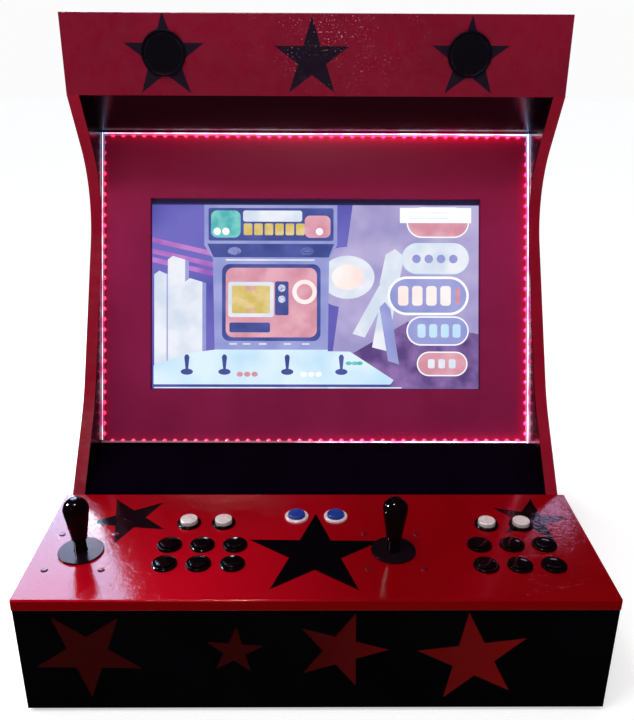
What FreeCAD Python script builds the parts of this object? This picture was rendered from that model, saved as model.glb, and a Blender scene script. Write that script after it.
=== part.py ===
import FreeCAD, Part
import Sketcher
import math
import os
import re

# A two-player bartop arcade cabinet in painted board: a control box at the front, a leaning
# bezel with a 24 inch monitor behind it, and a marquee on top. Lengths are millimetres.
# X runs to the right, Y to the back and Z up. The origin is the middle of the footprint.

DIMENSIONS = {
    # Carcass
    "front_y": -300,            # front edge of the control panel
    "body_width": 720,
    "body_top": 838,
    "back_y": 283,              # rear edge of the side panels
    "board": 18,
    "foot_height": 6,
    "foot_radius": 15,
    "foot_inset": 12,
    "foot_front": 45,
    "foot_rear": 35,
    "back_board": 12,
    # Control box
    "panel_width": 738,
    "panel_depth": 240,
    "panel_top": 176,
    "panel_board": 15,
    "panel_edge_radius": 2,
    "marquee_edge_radius": 1.5,
    "box_board": 15,
    "front_set": 2,
    # Front edge of the side panels, measured from front_y
    "knee_y": 343,
    "knee_z": 283,
    "knee_radius": 260,
    "waist_y": 512.5,
    "waist_z": 575,
    "waist_radius": 149,
    # Marquee
    "marquee_y": 424,
    "marquee_bottom": 728,
    "marquee_board": 15,
    "soffit_board": 8,
    "speaker_x": 217,
    "speaker_z": 785,
    "speaker_radius": 33,
    "speaker_hole_radius": 27,
    "grille_radius": 31.5,
    "grille_height": 3,
    # Leaning bezel and the monitor behind it
    "bezel_foot_y": 359,
    "bezel_foot_z": 201,
    "bezel_length": 496,
    "bezel_lean": 21.5,
    "bezel_board": 9,
    "window_width": 532,
    "window_height": 308,
    "window_bottom": 85.5,
    "screen_width": 531.4,
    "screen_height": 298.9,
    "screen_middle": 235.6,
    "screen_depth": 5,
    "frame_width": 554,
    "frame_height": 332,
    "frame_depth": 18,
    "frame_lip": 2,
    "shell_width": 548,
    "shell_height": 324,
    "shell_depth": 35,
    "shell_wall": 3,
    "shell_edge_radius": 6,
    "bar_height": 40,
    "bar_depth": 15,
    "bar_spacing": 100,
    "display_border": 4,
    "strip_width": 10,
    "strip_height": 3,
    # Push buttons
    "pitch": 43.6,
    "p_one_x": -195.6,
    "p_two_x": 217.6,
    "upper_row": 112,
    "p_one_lower_row": 70.8,
    "p_two_lower_row": 67.2,
    "option_pitch": 48,
    "p_one_option_x": -177,
    "p_one_option_row": 164.5,
    "p_two_option_x": 237.1,
    "p_two_option_row": 160.2,
    "start_x": 27.6,
    "start_row": 180.2,
    "hole_radius": 14,
    "rim_radius": 16.6,
    "rim_height": 3.4,
    "barrel_radius": 13.7,
    "barrel_length": 33,
    "bore_radius": 12.2,
    "throat_radius": 5.2,
    "arm_width": 12,
    "arm_thickness": 1.95,
    "arm_gap": 5.05,
    "arm_length": 18,
    "cap_radius": 11.8,
    "play_cap_height": 6.2,
    "option_cap_height": 8.8,
    "start_cap_height": 7.6,
    "skirt_depth": 12,
    "stem_radius": 4.8,
    "nut_radius": 18.5,
    "nut_height": 6,
    # Microswitches
    "switch_length": 28,
    "switch_width": 10,
    "switch_height": 16,
    "pip_rise": 1,
    "tab_pitch": 11,
    # Joysticks, with heights measured from the top of the control panel
    "stick_one_x": -309.5,
    "stick_one_row": 98.5,
    "stick_two_x": 101.5,
    "stick_two_row": 99.5,
    "stick_hole_radius": 14,
    "bolt_x": 36,
    "bolt_row": 39.5,
    "bolt_radius": 2.5,
    "flange_width": 84,
    "flange_length": 92,
    "flange_height": 4,
    "tower_width": 60,
    "tower_height": 40,
    "tower_wall": 3,
    "gate_width": 21,
    "pivot_drop": 22,
    "pin_radius": 2.5,
    "ring_radius": 14,
    "ring_height": 8,
    "ring_bore": 7.5,
    "shaft_radius": 4.75,
    "shaft_top": 50,
    "shaft_tail": 44,           # from the pivot down to the end of the actuator
    "actuator_radius": 6.8,
    "actuator_height": 7,
    "sleeve_radius": 8.4,
    "bat_radius": 16.6,
    "bat_bottom": 20,
    "bat_shoulder": 64.5,
    "bat_slope": 8.5,
    "washer_radius": 29.5,
    # Rear services
    "inlet_x": 250,
    "inlet_z": 110,
    "can_width": 28,
    "can_height": 58,
    "can_depth": 24,
    "lip_width": 34,
    "lip_height": 68,
    "lip_depth": 2.5,
    "rocker_width": 13.4,
    "rocker_length": 18,
    "rocker_radius": 9.35,
    "rocker_sink": 0.6,
    "rocker_tilt": 8,
    "vent_x": 170,
    "vent_width": 140,
    "vent_bottom": 560,
    "vent_height": 6,
    "vent_pitch": 14,
    "screw_radius": 1.8,
    # Electronics on the floor
    "computer_height": 30,
    "supply_height": 40,
    "plate_width": 90,
    "plate_depth": 45,
    "plate_rise": 6,
}

VENT_ROWS = 8
SUPPLY_SLOTS = 9
SLIDE_GAP = 0.05                # between parts that turn or slide in one another

doc = FreeCAD.newDocument("bartop_arcade_cabinet")
sheet = doc.addObject("Spreadsheet::Sheet", "Dimensions")
for row, (alias, number) in enumerate(DIMENSIONS.items(), start=1):
    sheet.set("A%d" % row, alias)
    sheet.set("B%d" % row, str(number))
    sheet.setAlias("B%d" % row, alias)
doc.recompute()

sub_parts = []


# ---------------------------------------------------------------- formulas and small helpers

def formula(text):
    """Write a formula over the sheet's aliases as a FreeCAD expression."""
    def lookup(word):
        name = word.group(0)
        return "Dimensions." + name if name in DIMENSIONS else name
    return re.sub(r"[a-z][a-z_]*", lookup, str(text))


def size(text):
    """The present value of a formula."""
    return float(sheet.evalExpression(formula(text)))


def bind(item, **formulas):
    for name, text in formulas.items():
        item.setExpression(name.replace("__", "."), formula(text))


def publish(item):
    """Keep an object as one of the cabinet's sub-parts."""
    item.Label = item.Name
    sub_parts.append(item)
    return item


def place(item, x="0", y="0", z="0"):
    bind(item, Placement__Base__x=x, Placement__Base__y=y, Placement__Base__z=z)


def lean_back(item):
    """Put an item in the bezel's frame: its XZ plane is the bezel's face, Z up the slope."""
    item.Placement = FreeCAD.Placement(
        FreeCAD.Vector(), FreeCAD.Rotation(FreeCAD.Vector(-1, 0, 0), size("bezel_lean")))
    place(item, y="front_y + bezel_foot_y", z="bezel_foot_z")
    bind(item, Placement__Rotation__Angle="bezel_lean")


# ---------------------------------------------------------------- primitives and booleans

def block(name, sizes, corner):
    item = doc.addObject("Part::Box", name)
    bind(item, Length=sizes[0], Width=sizes[1], Height=sizes[2])
    place(item, *corner)
    return item


def block_between(name, x, y, z):
    """A block from pairs of formulas for its low and high faces along X, Y and Z."""
    spans = ["(%s) - (%s)" % (high, low) for low, high in (x, y, z)]
    return block(name, spans, (x[0], y[0], z[0]))


def rod(name, radius, height, base):
    item = doc.addObject("Part::Cylinder", name)
    bind(item, Radius=radius, Height=height)
    place(item, *base)
    return item


def joined(name, items):
    item = doc.addObject("Part::MultiFuse", name)
    item.Shapes = items
    item.Refine = True
    return item


def less(name, base, tools):
    item = doc.addObject("Part::Cut", name)
    item.Base = base
    item.Tool = tools[0] if len(tools) == 1 else joined(name + "_cutter", tools)
    return item


def group(name, items):
    """Identical pieces that share a node as separate solids."""
    item = doc.addObject("Part::Compound", name)
    item.Links = items
    return item


def softened(name, item, radius, choose):
    """Round the edges of a solid that choose() picks."""
    doc.recompute()
    picked = [i for i, edge in enumerate(item.Shape.Edges, start=1) if choose(edge)]
    rounded = doc.addObject("Part::Fillet", name)
    rounded.Base = item
    rounded.Edges = [(i, radius, radius) for i in picked]
    return rounded


def copies(name, pattern, spots):
    """Separate solids of one pattern shape, moved to each spot."""
    doc.recompute()
    solids = []
    for spot in spots:
        solid = pattern.Shape.copy()
        solid.translate(spot)
        solids.append(solid)
    item = doc.addObject("Part::Feature", name)
    item.Shape = Part.makeCompound(solids)
    return item


def moved_copy(name, pattern, spot):
    """One piece of a repeated pattern, in its own place."""
    doc.recompute()
    item = doc.addObject("Part::Feature", name)
    item.Shape = pattern.Shape.copy()
    item.Placement = FreeCAD.Placement(spot, FreeCAD.Rotation())
    return item


# ---------------------------------------------------------------- sketched bodies

def new_body(name):
    return doc.addObject("PartDesign::Body", name)


def new_sketch(body, name, role, offset="0"):
    """A sketch on one of the body's origin planes, offset along the plane's normal."""
    planes = [item for item in body.Origin.OriginFeatures if item.Role == role]
    sketch = body.newObject("Sketcher::SketchObject", name)
    sketch.AttachmentSupport = [(planes[0], "")]
    sketch.MapMode = "FlatFace"
    bind(sketch, AttachmentOffset__Base__z=offset)
    return sketch


def fix_point(sketch, line, end, x, y):
    """Hold one end of a sketch line at two formulas from the sketch's origin."""
    for kind, text in (("DistanceX", x), ("DistanceY", y)):
        number = sketch.addConstraint(Sketcher.Constraint(kind, -1, 1, line, end, size(text)))
        sketch.setExpression("Constraints[%d]" % number, formula(text))


def outline(sketch, corners):
    """A closed outline of straight runs through corners given as pairs of formulas."""
    spots = [FreeCAD.Vector(size(x), size(y), 0) for x, y in corners]
    first = sketch.GeometryCount
    count = len(corners)
    for i, spot in enumerate(spots):
        sketch.addGeometry(Part.LineSegment(spot, spots[(i + 1) % count]))
    for i in range(count):
        follower = first + (i + 1) % count
        sketch.addConstraint(Sketcher.Constraint("Coincident", first + i, 2, follower, 1))
    for i, (x, y) in enumerate(corners):
        fix_point(sketch, first + i, 1, x, y)


def rectangle(sketch, low_x, high_x, low_y, high_y):
    outline(sketch, [(low_x, low_y), (high_x, low_y), (high_x, high_y), (low_x, high_y)])


def circle(sketch, x, y, radius):
    centre = FreeCAD.Vector(size(x), size(y), 0)
    ring = Part.Circle(centre, FreeCAD.Vector(0, 0, 1), size(radius))
    number = sketch.addGeometry(ring)
    fix_point(sketch, number, 3, x, y)
    held = sketch.addConstraint(Sketcher.Constraint("Radius", number, size(radius)))
    sketch.setExpression("Constraints[%d]" % held, formula(radius))


def pad(body, sketch, length):
    feature = body.newObject("PartDesign::Pad", sketch.Name + "_pad")
    feature.Profile = sketch
    bind(feature, Length=length)
    sketch.Visibility = False
    doc.recompute()
    return feature


def pocket(body, sketch, length, against_normal=True):
    """Cut a sketch into the body, and make sure that it removed material."""
    before = body.Shape.Volume
    feature = body.newObject("PartDesign::Pocket", sketch.Name + "_pocket")
    feature.Profile = sketch
    feature.Reversed = not against_normal
    bind(feature, Length=length)
    doc.recompute()
    if body.Shape.Volume > before - 0.01:
        raise RuntimeError(feature.Name + " cuts nothing")
    return feature


def round_edges(body, radius, choose):
    """Fillet the edges of the body's last feature that choose() picks."""
    last = body.Tip
    names = ["Edge%d" % i for i, edge in enumerate(last.Shape.Edges, start=1) if choose(edge)]
    feature = body.newObject("PartDesign::Fillet", body.Name + "_round_%d" % len(body.Group))
    feature.Base = (last, names)
    bind(feature, Radius=radius)
    doc.recompute()
    return feature


def repeat_along(body, feature, axis, pitch, count):
    """Repeat a feature along one of the body's origin axes."""
    axes = [item for item in body.Origin.OriginFeatures if item.Role == axis]
    pattern = body.newObject("PartDesign::LinearPattern", feature.Name + "_row")
    pattern.Originals = [feature]
    pattern.Direction = (axes[0], [""])
    pattern.Length = size(pitch) * (count - 1)
    bind(pattern, Length="(%s) * %d" % (pitch, count - 1))
    pattern.Occurrences = count
    body.Tip = pattern
    doc.recompute()
    return pattern


def turned(name, profile):
    """A solid turned about Z from (radius, height) points that run upwards on its outside.

    A third value in a point makes the run that leads to it an arc, and is how far the arc's
    middle swells out from the straight run.
    """
    points = [FreeCAD.Vector(p[0], 0, p[1]) for p in profile]
    edges = []
    for i, point in enumerate(points):
        previous = points[i - 1]
        bulge = profile[i][2] if len(profile[i]) > 2 else 0
        if bulge:
            chord = (point - previous).normalize()
            side = FreeCAD.Vector(chord.z, 0, -chord.x)
            middle = (point + previous) * 0.5 + side * bulge
            edges.append(Part.Arc(previous, middle, point).toShape())
        else:
            edges.append(Part.makeLine(previous, point))
    face = Part.Face(Part.Wire(edges))
    item = doc.addObject("Part::Feature", name)
    item.Shape = face.revolve(FreeCAD.Vector(), FreeCAD.Vector(0, 0, 1), 360)
    return item


def edge_at(x=None, y=None, z=None, reach=0.01):
    """A chooser for edges whose ends both lie at the given coordinates."""
    def choose(edge):
        for vertex in edge.Vertexes:
            for wanted, found in ((x, vertex.X), (y, vertex.Y), (z, vertex.Z)):
                if wanted is not None and abs(found - wanted) > reach:
                    return False
        return True
    return choose


# ---------------------------------------------------------------- carcass

def side_panel(name, inner_x):
    """A full-height side, straight at the back and waisted along its front edge."""
    body = new_body(name)
    sketch = new_sketch(body, name + "_outline", "YZ_Plane", inner_x)
    box_back = "front_y + panel_depth"
    marquee_back = "front_y + marquee_y + marquee_board"
    outline(sketch, [
        (box_back, "foot_height"),
        (box_back, "panel_top"),
        ("front_y + knee_y", "knee_z"),
        ("front_y + waist_y", "waist_z"),
        ("front_y + marquee_y", "marquee_bottom"),
        (marquee_back, "marquee_bottom"),
        (marquee_back, "body_top"),
        ("back_y", "body_top"),
        ("back_y", "foot_height"),
    ])
    pad(body, sketch, "board")
    bends = (("waist_radius", "waist_y", "waist_z"), ("knee_radius", "knee_y", "knee_z"))
    for radius, y, z in bends:
        round_edges(body, radius, edge_at(y=size("front_y + " + y), z=size(z)))
    return publish(body)


def cross_board(name, y, z):
    """A board that runs between the two side panels."""
    inner = ("board - body_width / 2", "body_width / 2 - board")
    return publish(block_between(name, inner, y, z))


def slanted_board(name, front, rear, thickness):
    """A board between the sides whose upper or lower face runs from front to rear."""
    body = new_body(name)
    sketch = new_sketch(body, name + "_section", "YZ_Plane", "board - body_width / 2")
    outline(sketch, [
        front,
        rear,
        (rear[0], "%s + %s" % (rear[1], thickness)),
        (front[0], "%s + %s" % (front[1], thickness)),
    ])
    pad(body, sketch, "body_width - 2 * board")
    return publish(body)


def marquee():
    body = new_body("marquee_panel")
    rear = "-(front_y + marquee_y + marquee_board)"
    face = new_sketch(body, "marquee_face", "XZ_Plane", rear)
    rectangle(face, "-body_width / 2", "body_width / 2", "marquee_bottom", "body_top")
    pad(body, face, "marquee_board")
    holes = new_sketch(body, "speaker_holes", "XZ_Plane", rear)
    for side in ("-speaker_x", "speaker_x"):
        circle(holes, side, "speaker_z", "speaker_hole_radius")
    pocket(body, holes, "marquee_board", against_normal=False)
    front_y = size("front_y + marquee_y")
    round_edges(body, "marquee_edge_radius", edge_at(y=front_y, z=size("body_top")))
    return publish(body)


def base():
    """The floor: full width inside the control box, and between the side panels behind it."""
    body = new_body("base_panel")
    sketch = new_sketch(body, "base_outline", "XY_Plane", "foot_height")
    box_front = "front_y + front_set + box_board"
    box_back = "front_y + panel_depth"
    wide, narrow = "panel_width / 2 - box_board", "body_width / 2 - board"
    outline(sketch, [
        ("-(%s)" % wide, box_front), (wide, box_front), (wide, box_back), (narrow, box_back),
        (narrow, "back_y"), ("-(%s)" % narrow, "back_y"), ("-(%s)" % narrow, box_back),
        ("-(%s)" % wide, box_back),
    ])
    pad(body, sketch, "board")
    return publish(body)


def screw_spots():
    """X and Z of the screws around the back panel, as formulas."""
    edge = "(body_width / 2 - board / 2)"
    low, high = "(foot_height + board / 2)", "(body_top - board / 2)"
    spots = []
    for side in ("-", ""):
        for i in range(5):
            spots.append((side + edge, "%s + (%s - %s) * %d / 4" % (low, high, low, i)))
        for z in (low, high):
            spots.append((side + edge + " / 2", z))
    return spots


def back():
    """The screwed-on back, with two blocks of vent slots and a cut-out for the mains inlet."""
    body = new_body("back_panel")
    face = new_sketch(body, "back_face", "XZ_Plane", "-(back_y + back_board)")
    rectangle(face, "-body_width / 2", "body_width / 2", "foot_height", "body_top")
    pad(body, face, "back_board")
    cut_out = new_sketch(body, "inlet_cut_out", "XZ_Plane", "-(back_y + back_board)")
    half_width, half_height = "(can_width / 2 + 0.2)", "(can_height / 2 + 0.2)"
    rectangle(cut_out, "inlet_x - " + half_width, "inlet_x + " + half_width,
              "inlet_z - " + half_height, "inlet_z + " + half_height)
    pocket(body, cut_out, "back_board", against_normal=False)
    screw_holes = new_sketch(body, "screw_holes", "XZ_Plane", "-(back_y + back_board)")
    for x, z in screw_spots():
        circle(screw_holes, x, z, "screw_radius")
    pocket(body, screw_holes, "back_board", against_normal=False)
    for side, middle in (("left", "-vent_x"), ("right", "vent_x")):
        slot = new_sketch(body, "vent_" + side, "XZ_Plane", "-(back_y + back_board)")
        rectangle(slot, middle + " - vent_width / 2", middle + " + vent_width / 2",
                  "vent_bottom", "vent_bottom + vent_height")
        cut = pocket(body, slot, "back_board", against_normal=False)
        repeat_along(body, cut, "Z_Axis", "vent_pitch", VENT_ROWS)
    return publish(body)


def carcass():
    side_panel("side_panel_left", "-body_width / 2")
    side_panel("side_panel_right", "body_width / 2 - board")
    base()
    top_front = "front_y + marquee_y + marquee_board"
    cross_board("top_panel", (top_front, "back_y"), ("body_top - board", "body_top"))
    marquee()
    slanted_board(
        "marquee_soffit",
        (top_front, "marquee_bottom"),
        ("front_y + bezel_foot_y + bezel_length * sin(bezel_lean)",
         "bezel_foot_z + bezel_length * cos(bezel_lean)"),
        "soffit_board")
    slanted_board(
        "rear_deck",
        ("front_y + panel_depth", "panel_top - bezel_board"),
        ("front_y + bezel_foot_y", "bezel_foot_z - bezel_board"),
        "bezel_board")
    back()
    feet = []
    outer = "body_width / 2 - foot_radius - foot_inset"
    for x in ("-(%s)" % outer, "0", outer):
        for y in ("front_y + foot_front", "back_y - foot_rear"):
            feet.append(rod("foot_%d" % len(feet), "foot_radius", "foot_height", (x, y, "0")))
    publish(group("rubber_feet", feet))


# ---------------------------------------------------------------- control box

def button_spots():
    """Name and centre of each push button on the control panel."""
    spots = {}
    for player, x, rows in (
            ("p1", "p_one_x", ("upper_row", "p_one_lower_row")),
            ("p2", "p_two_x", ("upper_row", "p_two_lower_row"))):
        for r, row in enumerate(rows):
            for column in range(3):
                name = "%s_button_%d" % (player, 3 * r + column + 1)
                spots[name] = ("%s + %d * pitch" % (x, column), "front_y + " + row)
    for player, x, row in (
            ("p1", "p_one_option_x", "p_one_option_row"),
            ("p2", "p_two_option_x", "p_two_option_row")):
        for column in range(2):
            name = "%s_option_button_%d" % (player, column + 1)
            spots[name] = ("%s + %d * option_pitch" % (x, column), "front_y + " + row)
    spots["start_button_1"] = ("-start_x", "front_y + start_row")
    spots["start_button_2"] = ("start_x", "front_y + start_row")
    return spots


def stick_spots():
    return {
        "left": ("stick_one_x", "front_y + stick_one_row"),
        "right": ("stick_two_x", "front_y + stick_two_row"),
    }


def on_panel(spot):
    """The point on top of the control panel over a spot."""
    return FreeCAD.Vector(size(spot[0]), size(spot[1]), size("panel_top"))


def bolt_spots():
    spots = []
    for x, y in stick_spots().values():
        for across in ("-bolt_x", "+bolt_x"):
            for along in ("-bolt_row", "+bolt_row"):
                spots.append((x + across, y + along))
    return spots


def control_panel():
    body = new_body("control_panel_top")
    sheet_sketch = new_sketch(body, "panel_sheet", "XY_Plane", "panel_top - panel_board")
    rectangle(sheet_sketch, "-panel_width / 2", "panel_width / 2", "front_y",
              "front_y + panel_depth")
    pad(body, sheet_sketch, "panel_board")
    top = size("panel_top")
    round_edges(body, "panel_edge_radius", edge_at(y=size("front_y"), z=top))
    holes = new_sketch(body, "panel_holes", "XY_Plane", "panel_top")
    for x, y in button_spots().values():
        circle(holes, x, y, "hole_radius")
    for x, y in stick_spots().values():
        circle(holes, x, y, "stick_hole_radius")
    for x, y in bolt_spots():
        circle(holes, x, y, "bolt_radius + %g" % SLIDE_GAP)
    pocket(body, holes, "panel_board")
    return publish(body)


def control_box():
    control_panel()
    under_panel = ("foot_height", "panel_top - panel_board")
    front = ("front_y + front_set", "front_y + front_set + box_board")
    full_width = ("-panel_width / 2", "panel_width / 2")
    publish(block_between("control_front_panel", full_width, front, under_panel))
    run = ("front_y + front_set + box_board", "front_y + panel_depth")
    left = ("-panel_width / 2", "box_board - panel_width / 2")
    right = ("panel_width / 2 - box_board", "panel_width / 2")
    publish(group("control_box_sides", [
        block_between("box_side_left", left, run, under_panel),
        block_between("box_side_right", right, run, under_panel),
    ]))


# ---------------------------------------------------------------- push buttons

def button_pattern():
    """Screw-in housing with two arms for its switch, and its nut, about the panel's top."""
    rim, rim_top = size("rim_radius"), size("rim_height")
    barrel, bore = size("barrel_radius"), size("bore_radius")
    bottom = -size("barrel_length")
    throat = size("throat_radius")
    rounding, chamfer, floor = 1.8, 0.6, 3
    housing = turned("housing_pattern", [
        (throat, bottom), (barrel, bottom), (barrel, 0), (rim, 0), (rim, rim_top - rounding),
        (rim - rounding, rim_top, 0.5), (bore + chamfer, rim_top), (bore, rim_top - chamfer),
        (bore, bottom + floor), (throat, bottom + floor),
    ])
    width, thickness, length = size("arm_width"), size("arm_thickness"), size("arm_length")
    arms = []
    for y in (-size("arm_gap") - thickness, size("arm_gap")):
        corner = FreeCAD.Vector(-width / 2, y, bottom - length)
        arms.append(Part.makeBox(width, thickness, length + 1, corner))
    held = doc.addObject("Part::Feature", "housing_with_arms")
    held.Shape = housing.Shape.fuse(arms).removeSplitter()
    nut_top = -size("panel_board")
    nut_bottom = nut_top - size("nut_height")
    outer, inner = size("nut_radius"), barrel + SLIDE_GAP
    nut = turned("nut_pattern", [
        (inner, nut_bottom), (outer - 1, nut_bottom), (outer, nut_bottom + 1),
        (outer, nut_top), (inner, nut_top),
    ])
    return held, nut


def cap_pattern(name, height):
    """A plunger with a slightly crowned cap and a stem down to its switch."""
    cap, stem = size("cap_radius"), size("stem_radius")
    bottom, skirt = -size("barrel_length") - 0.7, -size("skirt_depth")
    top = size(height)
    return turned(name, [
        (0, bottom), (stem, bottom), (stem, skirt), (cap, skirt),
        (cap, top - 1.6), (cap - 1.4, top - 0.5, 0.4), (3, top, 0.1), (0, top),
    ])


def microswitch_pattern():
    """A snap-action switch: body, actuator pip and three tabs below, pip at the origin."""
    length, width, height = size("switch_length"), size("switch_width"), size("switch_height")
    rise = size("pip_rise")
    body = Part.makeBox(length, width, height,
                        FreeCAD.Vector(-length / 2, -width / 2, -height - rise))
    pip = (3, 4, 1.2)
    shape = body.fuse(Part.makeBox(*pip, FreeCAD.Vector(-pip[0] / 2, -pip[1] / 2, -rise - 0.1)))
    tab = (0.8, 6, 8)
    for x in (-size("tab_pitch"), 0, size("tab_pitch")):
        corner = FreeCAD.Vector(x - tab[0] / 2, -tab[1] / 2, -height - rise - tab[2])
        shape = shape.fuse(Part.makeBox(*tab, corner))
    item = doc.addObject("Part::Feature", "microswitch_pattern")
    item.Shape = shape.removeSplitter()
    return item


def push_buttons():
    housing, nut = button_pattern()
    spots = {name: on_panel(spot) for name, spot in button_spots().items()}
    start = [spot for name, spot in spots.items() if name.startswith("start")]
    action = [spot for name, spot in spots.items() if not name.startswith("start")]
    publish(copies("button_housings_play", housing, action))
    publish(copies("button_housings_start", housing, start))
    publish(copies("button_nuts", nut, action + start))
    low_cap = cap_pattern("play_cap_pattern", "play_cap_height")
    tall_cap = cap_pattern("option_cap_pattern", "option_cap_height")
    start_cap = cap_pattern("start_cap_pattern", "start_cap_height")
    for name, spot in spots.items():
        pattern = low_cap
        if "option" in name:
            pattern = tall_cap
        if name.startswith("start"):
            pattern = start_cap
        publish(moved_copy(name, pattern, spot))


# ---------------------------------------------------------------- joysticks

def stick_base_pattern():
    """A one-piece moulded base: flange, square body, trunnion holes and square gate."""
    under = -size("panel_board")
    flange, tower = size("flange_height"), size("tower_height")
    wall, opening = size("tower_wall"), size("ring_radius") + 1

    def centred_box(width, length, low, high):
        corner = FreeCAD.Vector(-width / 2, -length / 2, under - low)
        return Part.makeBox(width, length, low - high, corner)

    outside = size("tower_width")
    inside, gate = outside - 2 * wall, size("gate_width")
    shape = centred_box(size("flange_width"), size("flange_length"), flange, 0)
    shape = shape.fuse(centred_box(outside, outside, tower, 2))
    shape = shape.cut(centred_box(inside, inside, tower - wall, wall))
    shape = shape.cut(Part.makeCylinder(opening, flange + 1, FreeCAD.Vector(0, 0, under - 4.5)))
    shape = shape.cut(centred_box(gate, gate, tower + 2, tower - wall - 1))
    trunnions = FreeCAD.Vector(-outside / 2 - 2, 0, -size("pivot_drop"))
    shape = shape.cut(Part.makeCylinder(size("pin_radius") + SLIDE_GAP, outside + 4, trunnions,
                                        FreeCAD.Vector(1, 0, 0)))
    for x in (-size("bolt_x"), size("bolt_x")):
        for y in (-size("bolt_row"), size("bolt_row")):
            hole = FreeCAD.Vector(x, y, under - flange - 1)
            shape = shape.cut(
                Part.makeCylinder(size("bolt_radius") + SLIDE_GAP, flange + 2, hole))
    item = doc.addObject("Part::Feature", "stick_base_pattern")
    item.Shape = shape.removeSplitter()
    return item


def gimbal_pattern():
    """The ring between base and shaft: trunnions along X, and a bore for the pin along Y."""
    pin, outer, height = size("pin_radius"), size("ring_radius"), size("ring_height")
    middle = FreeCAD.Vector(0, 0, -size("pivot_drop"))
    ring = Part.makeCylinder(outer, height, middle - FreeCAD.Vector(0, 0, height / 2))
    inner_end = outer - 2
    reach = size("tower_width") / 2 - 0.5 - inner_end
    for way in (-1, 1):
        start = middle + FreeCAD.Vector(way * inner_end, 0, 0)
        ring = ring.fuse(Part.makeCylinder(pin, reach, start, FreeCAD.Vector(way, 0, 0)))
    bore_foot = middle - FreeCAD.Vector(0, 0, height / 2 + 1)
    ring = ring.cut(Part.makeCylinder(size("ring_bore"), height + 2, bore_foot))
    across = middle - FreeCAD.Vector(0, outer + 1, 0)
    ring = ring.cut(Part.makeCylinder(pin + SLIDE_GAP, 2 * outer + 2, across,
                                      FreeCAD.Vector(0, 1, 0)))
    item = doc.addObject("Part::Feature", "gimbal_pattern")
    item.Shape = ring.removeSplitter()
    return item


def shaft_pattern():
    """A steel shaft with a moulded sleeve above, a cross pin and the actuator below."""
    drop = -size("pivot_drop")
    shaft, sleeve = size("shaft_radius"), size("sleeve_radius")
    bottom, top = drop - size("shaft_tail"), size("shaft_top")
    foot, foot_top = size("actuator_radius"), bottom + size("actuator_height")
    bat = size("bat_bottom")
    turned_shape = turned("shaft_turned", [
        (0, bottom), (foot, bottom), (foot, foot_top), (shaft, foot_top), (shaft, -8),
        (sleeve, -6), (sleeve, 2), (sleeve - 0.6, bat - 2), (shaft, bat), (shaft, top), (0, top),
    ])
    half_pin = size("ring_radius") - 0.5
    pin = Part.makeCylinder(size("pin_radius"), 2 * half_pin, FreeCAD.Vector(0, -half_pin, drop),
                            FreeCAD.Vector(0, 1, 0))
    item = doc.addObject("Part::Feature", "shaft_pattern")
    item.Shape = turned_shape.Shape.fuse(pin).removeSplitter()
    return item


def bat_pattern():
    """A bat-shaped grip: a long cone that ends in a ball."""
    ball, shoulder = size("bat_radius"), size("bat_shoulder")
    bottom, socket = size("bat_bottom") + 0.6, size("shaft_radius") + 0.03
    socket_end = size("shaft_top") + 0.1
    slope = math.radians(size("bat_slope"))
    touch = (ball * math.cos(slope), shoulder - ball * math.sin(slope))
    dome = math.hypot(touch[0], shoulder + ball - touch[1])
    bulge = ball - math.sqrt(ball * ball - dome * dome / 4)
    return turned("bat_pattern", [
        (socket, bottom), (8.2, bottom), (10.4, bottom + 2.6, 0.8), touch,
        (0, shoulder + ball, bulge), (0, socket_end), (socket, socket_end),
    ])


def washer_pattern(name, outer, inner, low, high):
    return turned(name, [
        (inner, low), (outer, low), (outer, high - 0.4), (outer - 0.4, high), (inner, high)])


def fastener_pattern():
    """A dome-headed bolt through panel and base, and its hexagon nut as a second solid."""
    radius = size("bolt_radius")
    bolt = turned("bolt_pattern", [
        (0, -26), (radius, -26), (radius, 0), (4.6, 0), (4.2, 0.5), (1.5, 1.1, 0.1), (0, 1.1)])
    nut_height = 4
    turn = FreeCAD.Rotation(FreeCAD.Vector(0, 0, 1), 60)
    corners = [FreeCAD.Vector(4.6, 0, 0)]
    for _ in range(6):
        corners.append(turn.multVec(corners[-1]))
    hexagon = Part.Face(Part.makePolygon(corners)).extrude(FreeCAD.Vector(0, 0, nut_height))
    nut = hexagon.cut(Part.makeCylinder(radius + 0.02, nut_height))
    nut_foot = -size("panel_board") - size("flange_height") - nut_height
    nut.translate(FreeCAD.Vector(0, 0, nut_foot))
    item = doc.addObject("Part::Feature", "fastener_pattern")
    item.Shape = Part.makeCompound([bolt.Shape, nut])
    return item


def joysticks():
    spots = {side: on_panel(spot) for side, spot in stick_spots().items()}
    base, gimbal = stick_base_pattern(), gimbal_pattern()
    shaft, bat = shaft_pattern(), bat_pattern()
    outer, sleeve = size("washer_radius"), size("sleeve_radius")
    lower = washer_pattern("lower_washer_pattern", outer - 3, sleeve + 5, 0.05, 1.05)
    upper = washer_pattern("upper_washer_pattern", outer, sleeve + 0.7, 1.15, 2.75)
    publish(copies("joystick_bases", base, list(spots.values())))
    publish(copies("joystick_fasteners", fastener_pattern(), map(on_panel, bolt_spots())))
    for side, spot in spots.items():
        publish(moved_copy("joystick_%s_gimbal" % side, gimbal, spot))
        publish(moved_copy("joystick_%s_shaft" % side, shaft, spot))
        publish(moved_copy("joystick_%s_bat" % side, bat, spot))
        publish(moved_copy("joystick_%s_lower_washer" % side, lower, spot))
        publish(moved_copy("joystick_%s_dust_washer" % side, upper, spot))


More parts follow.
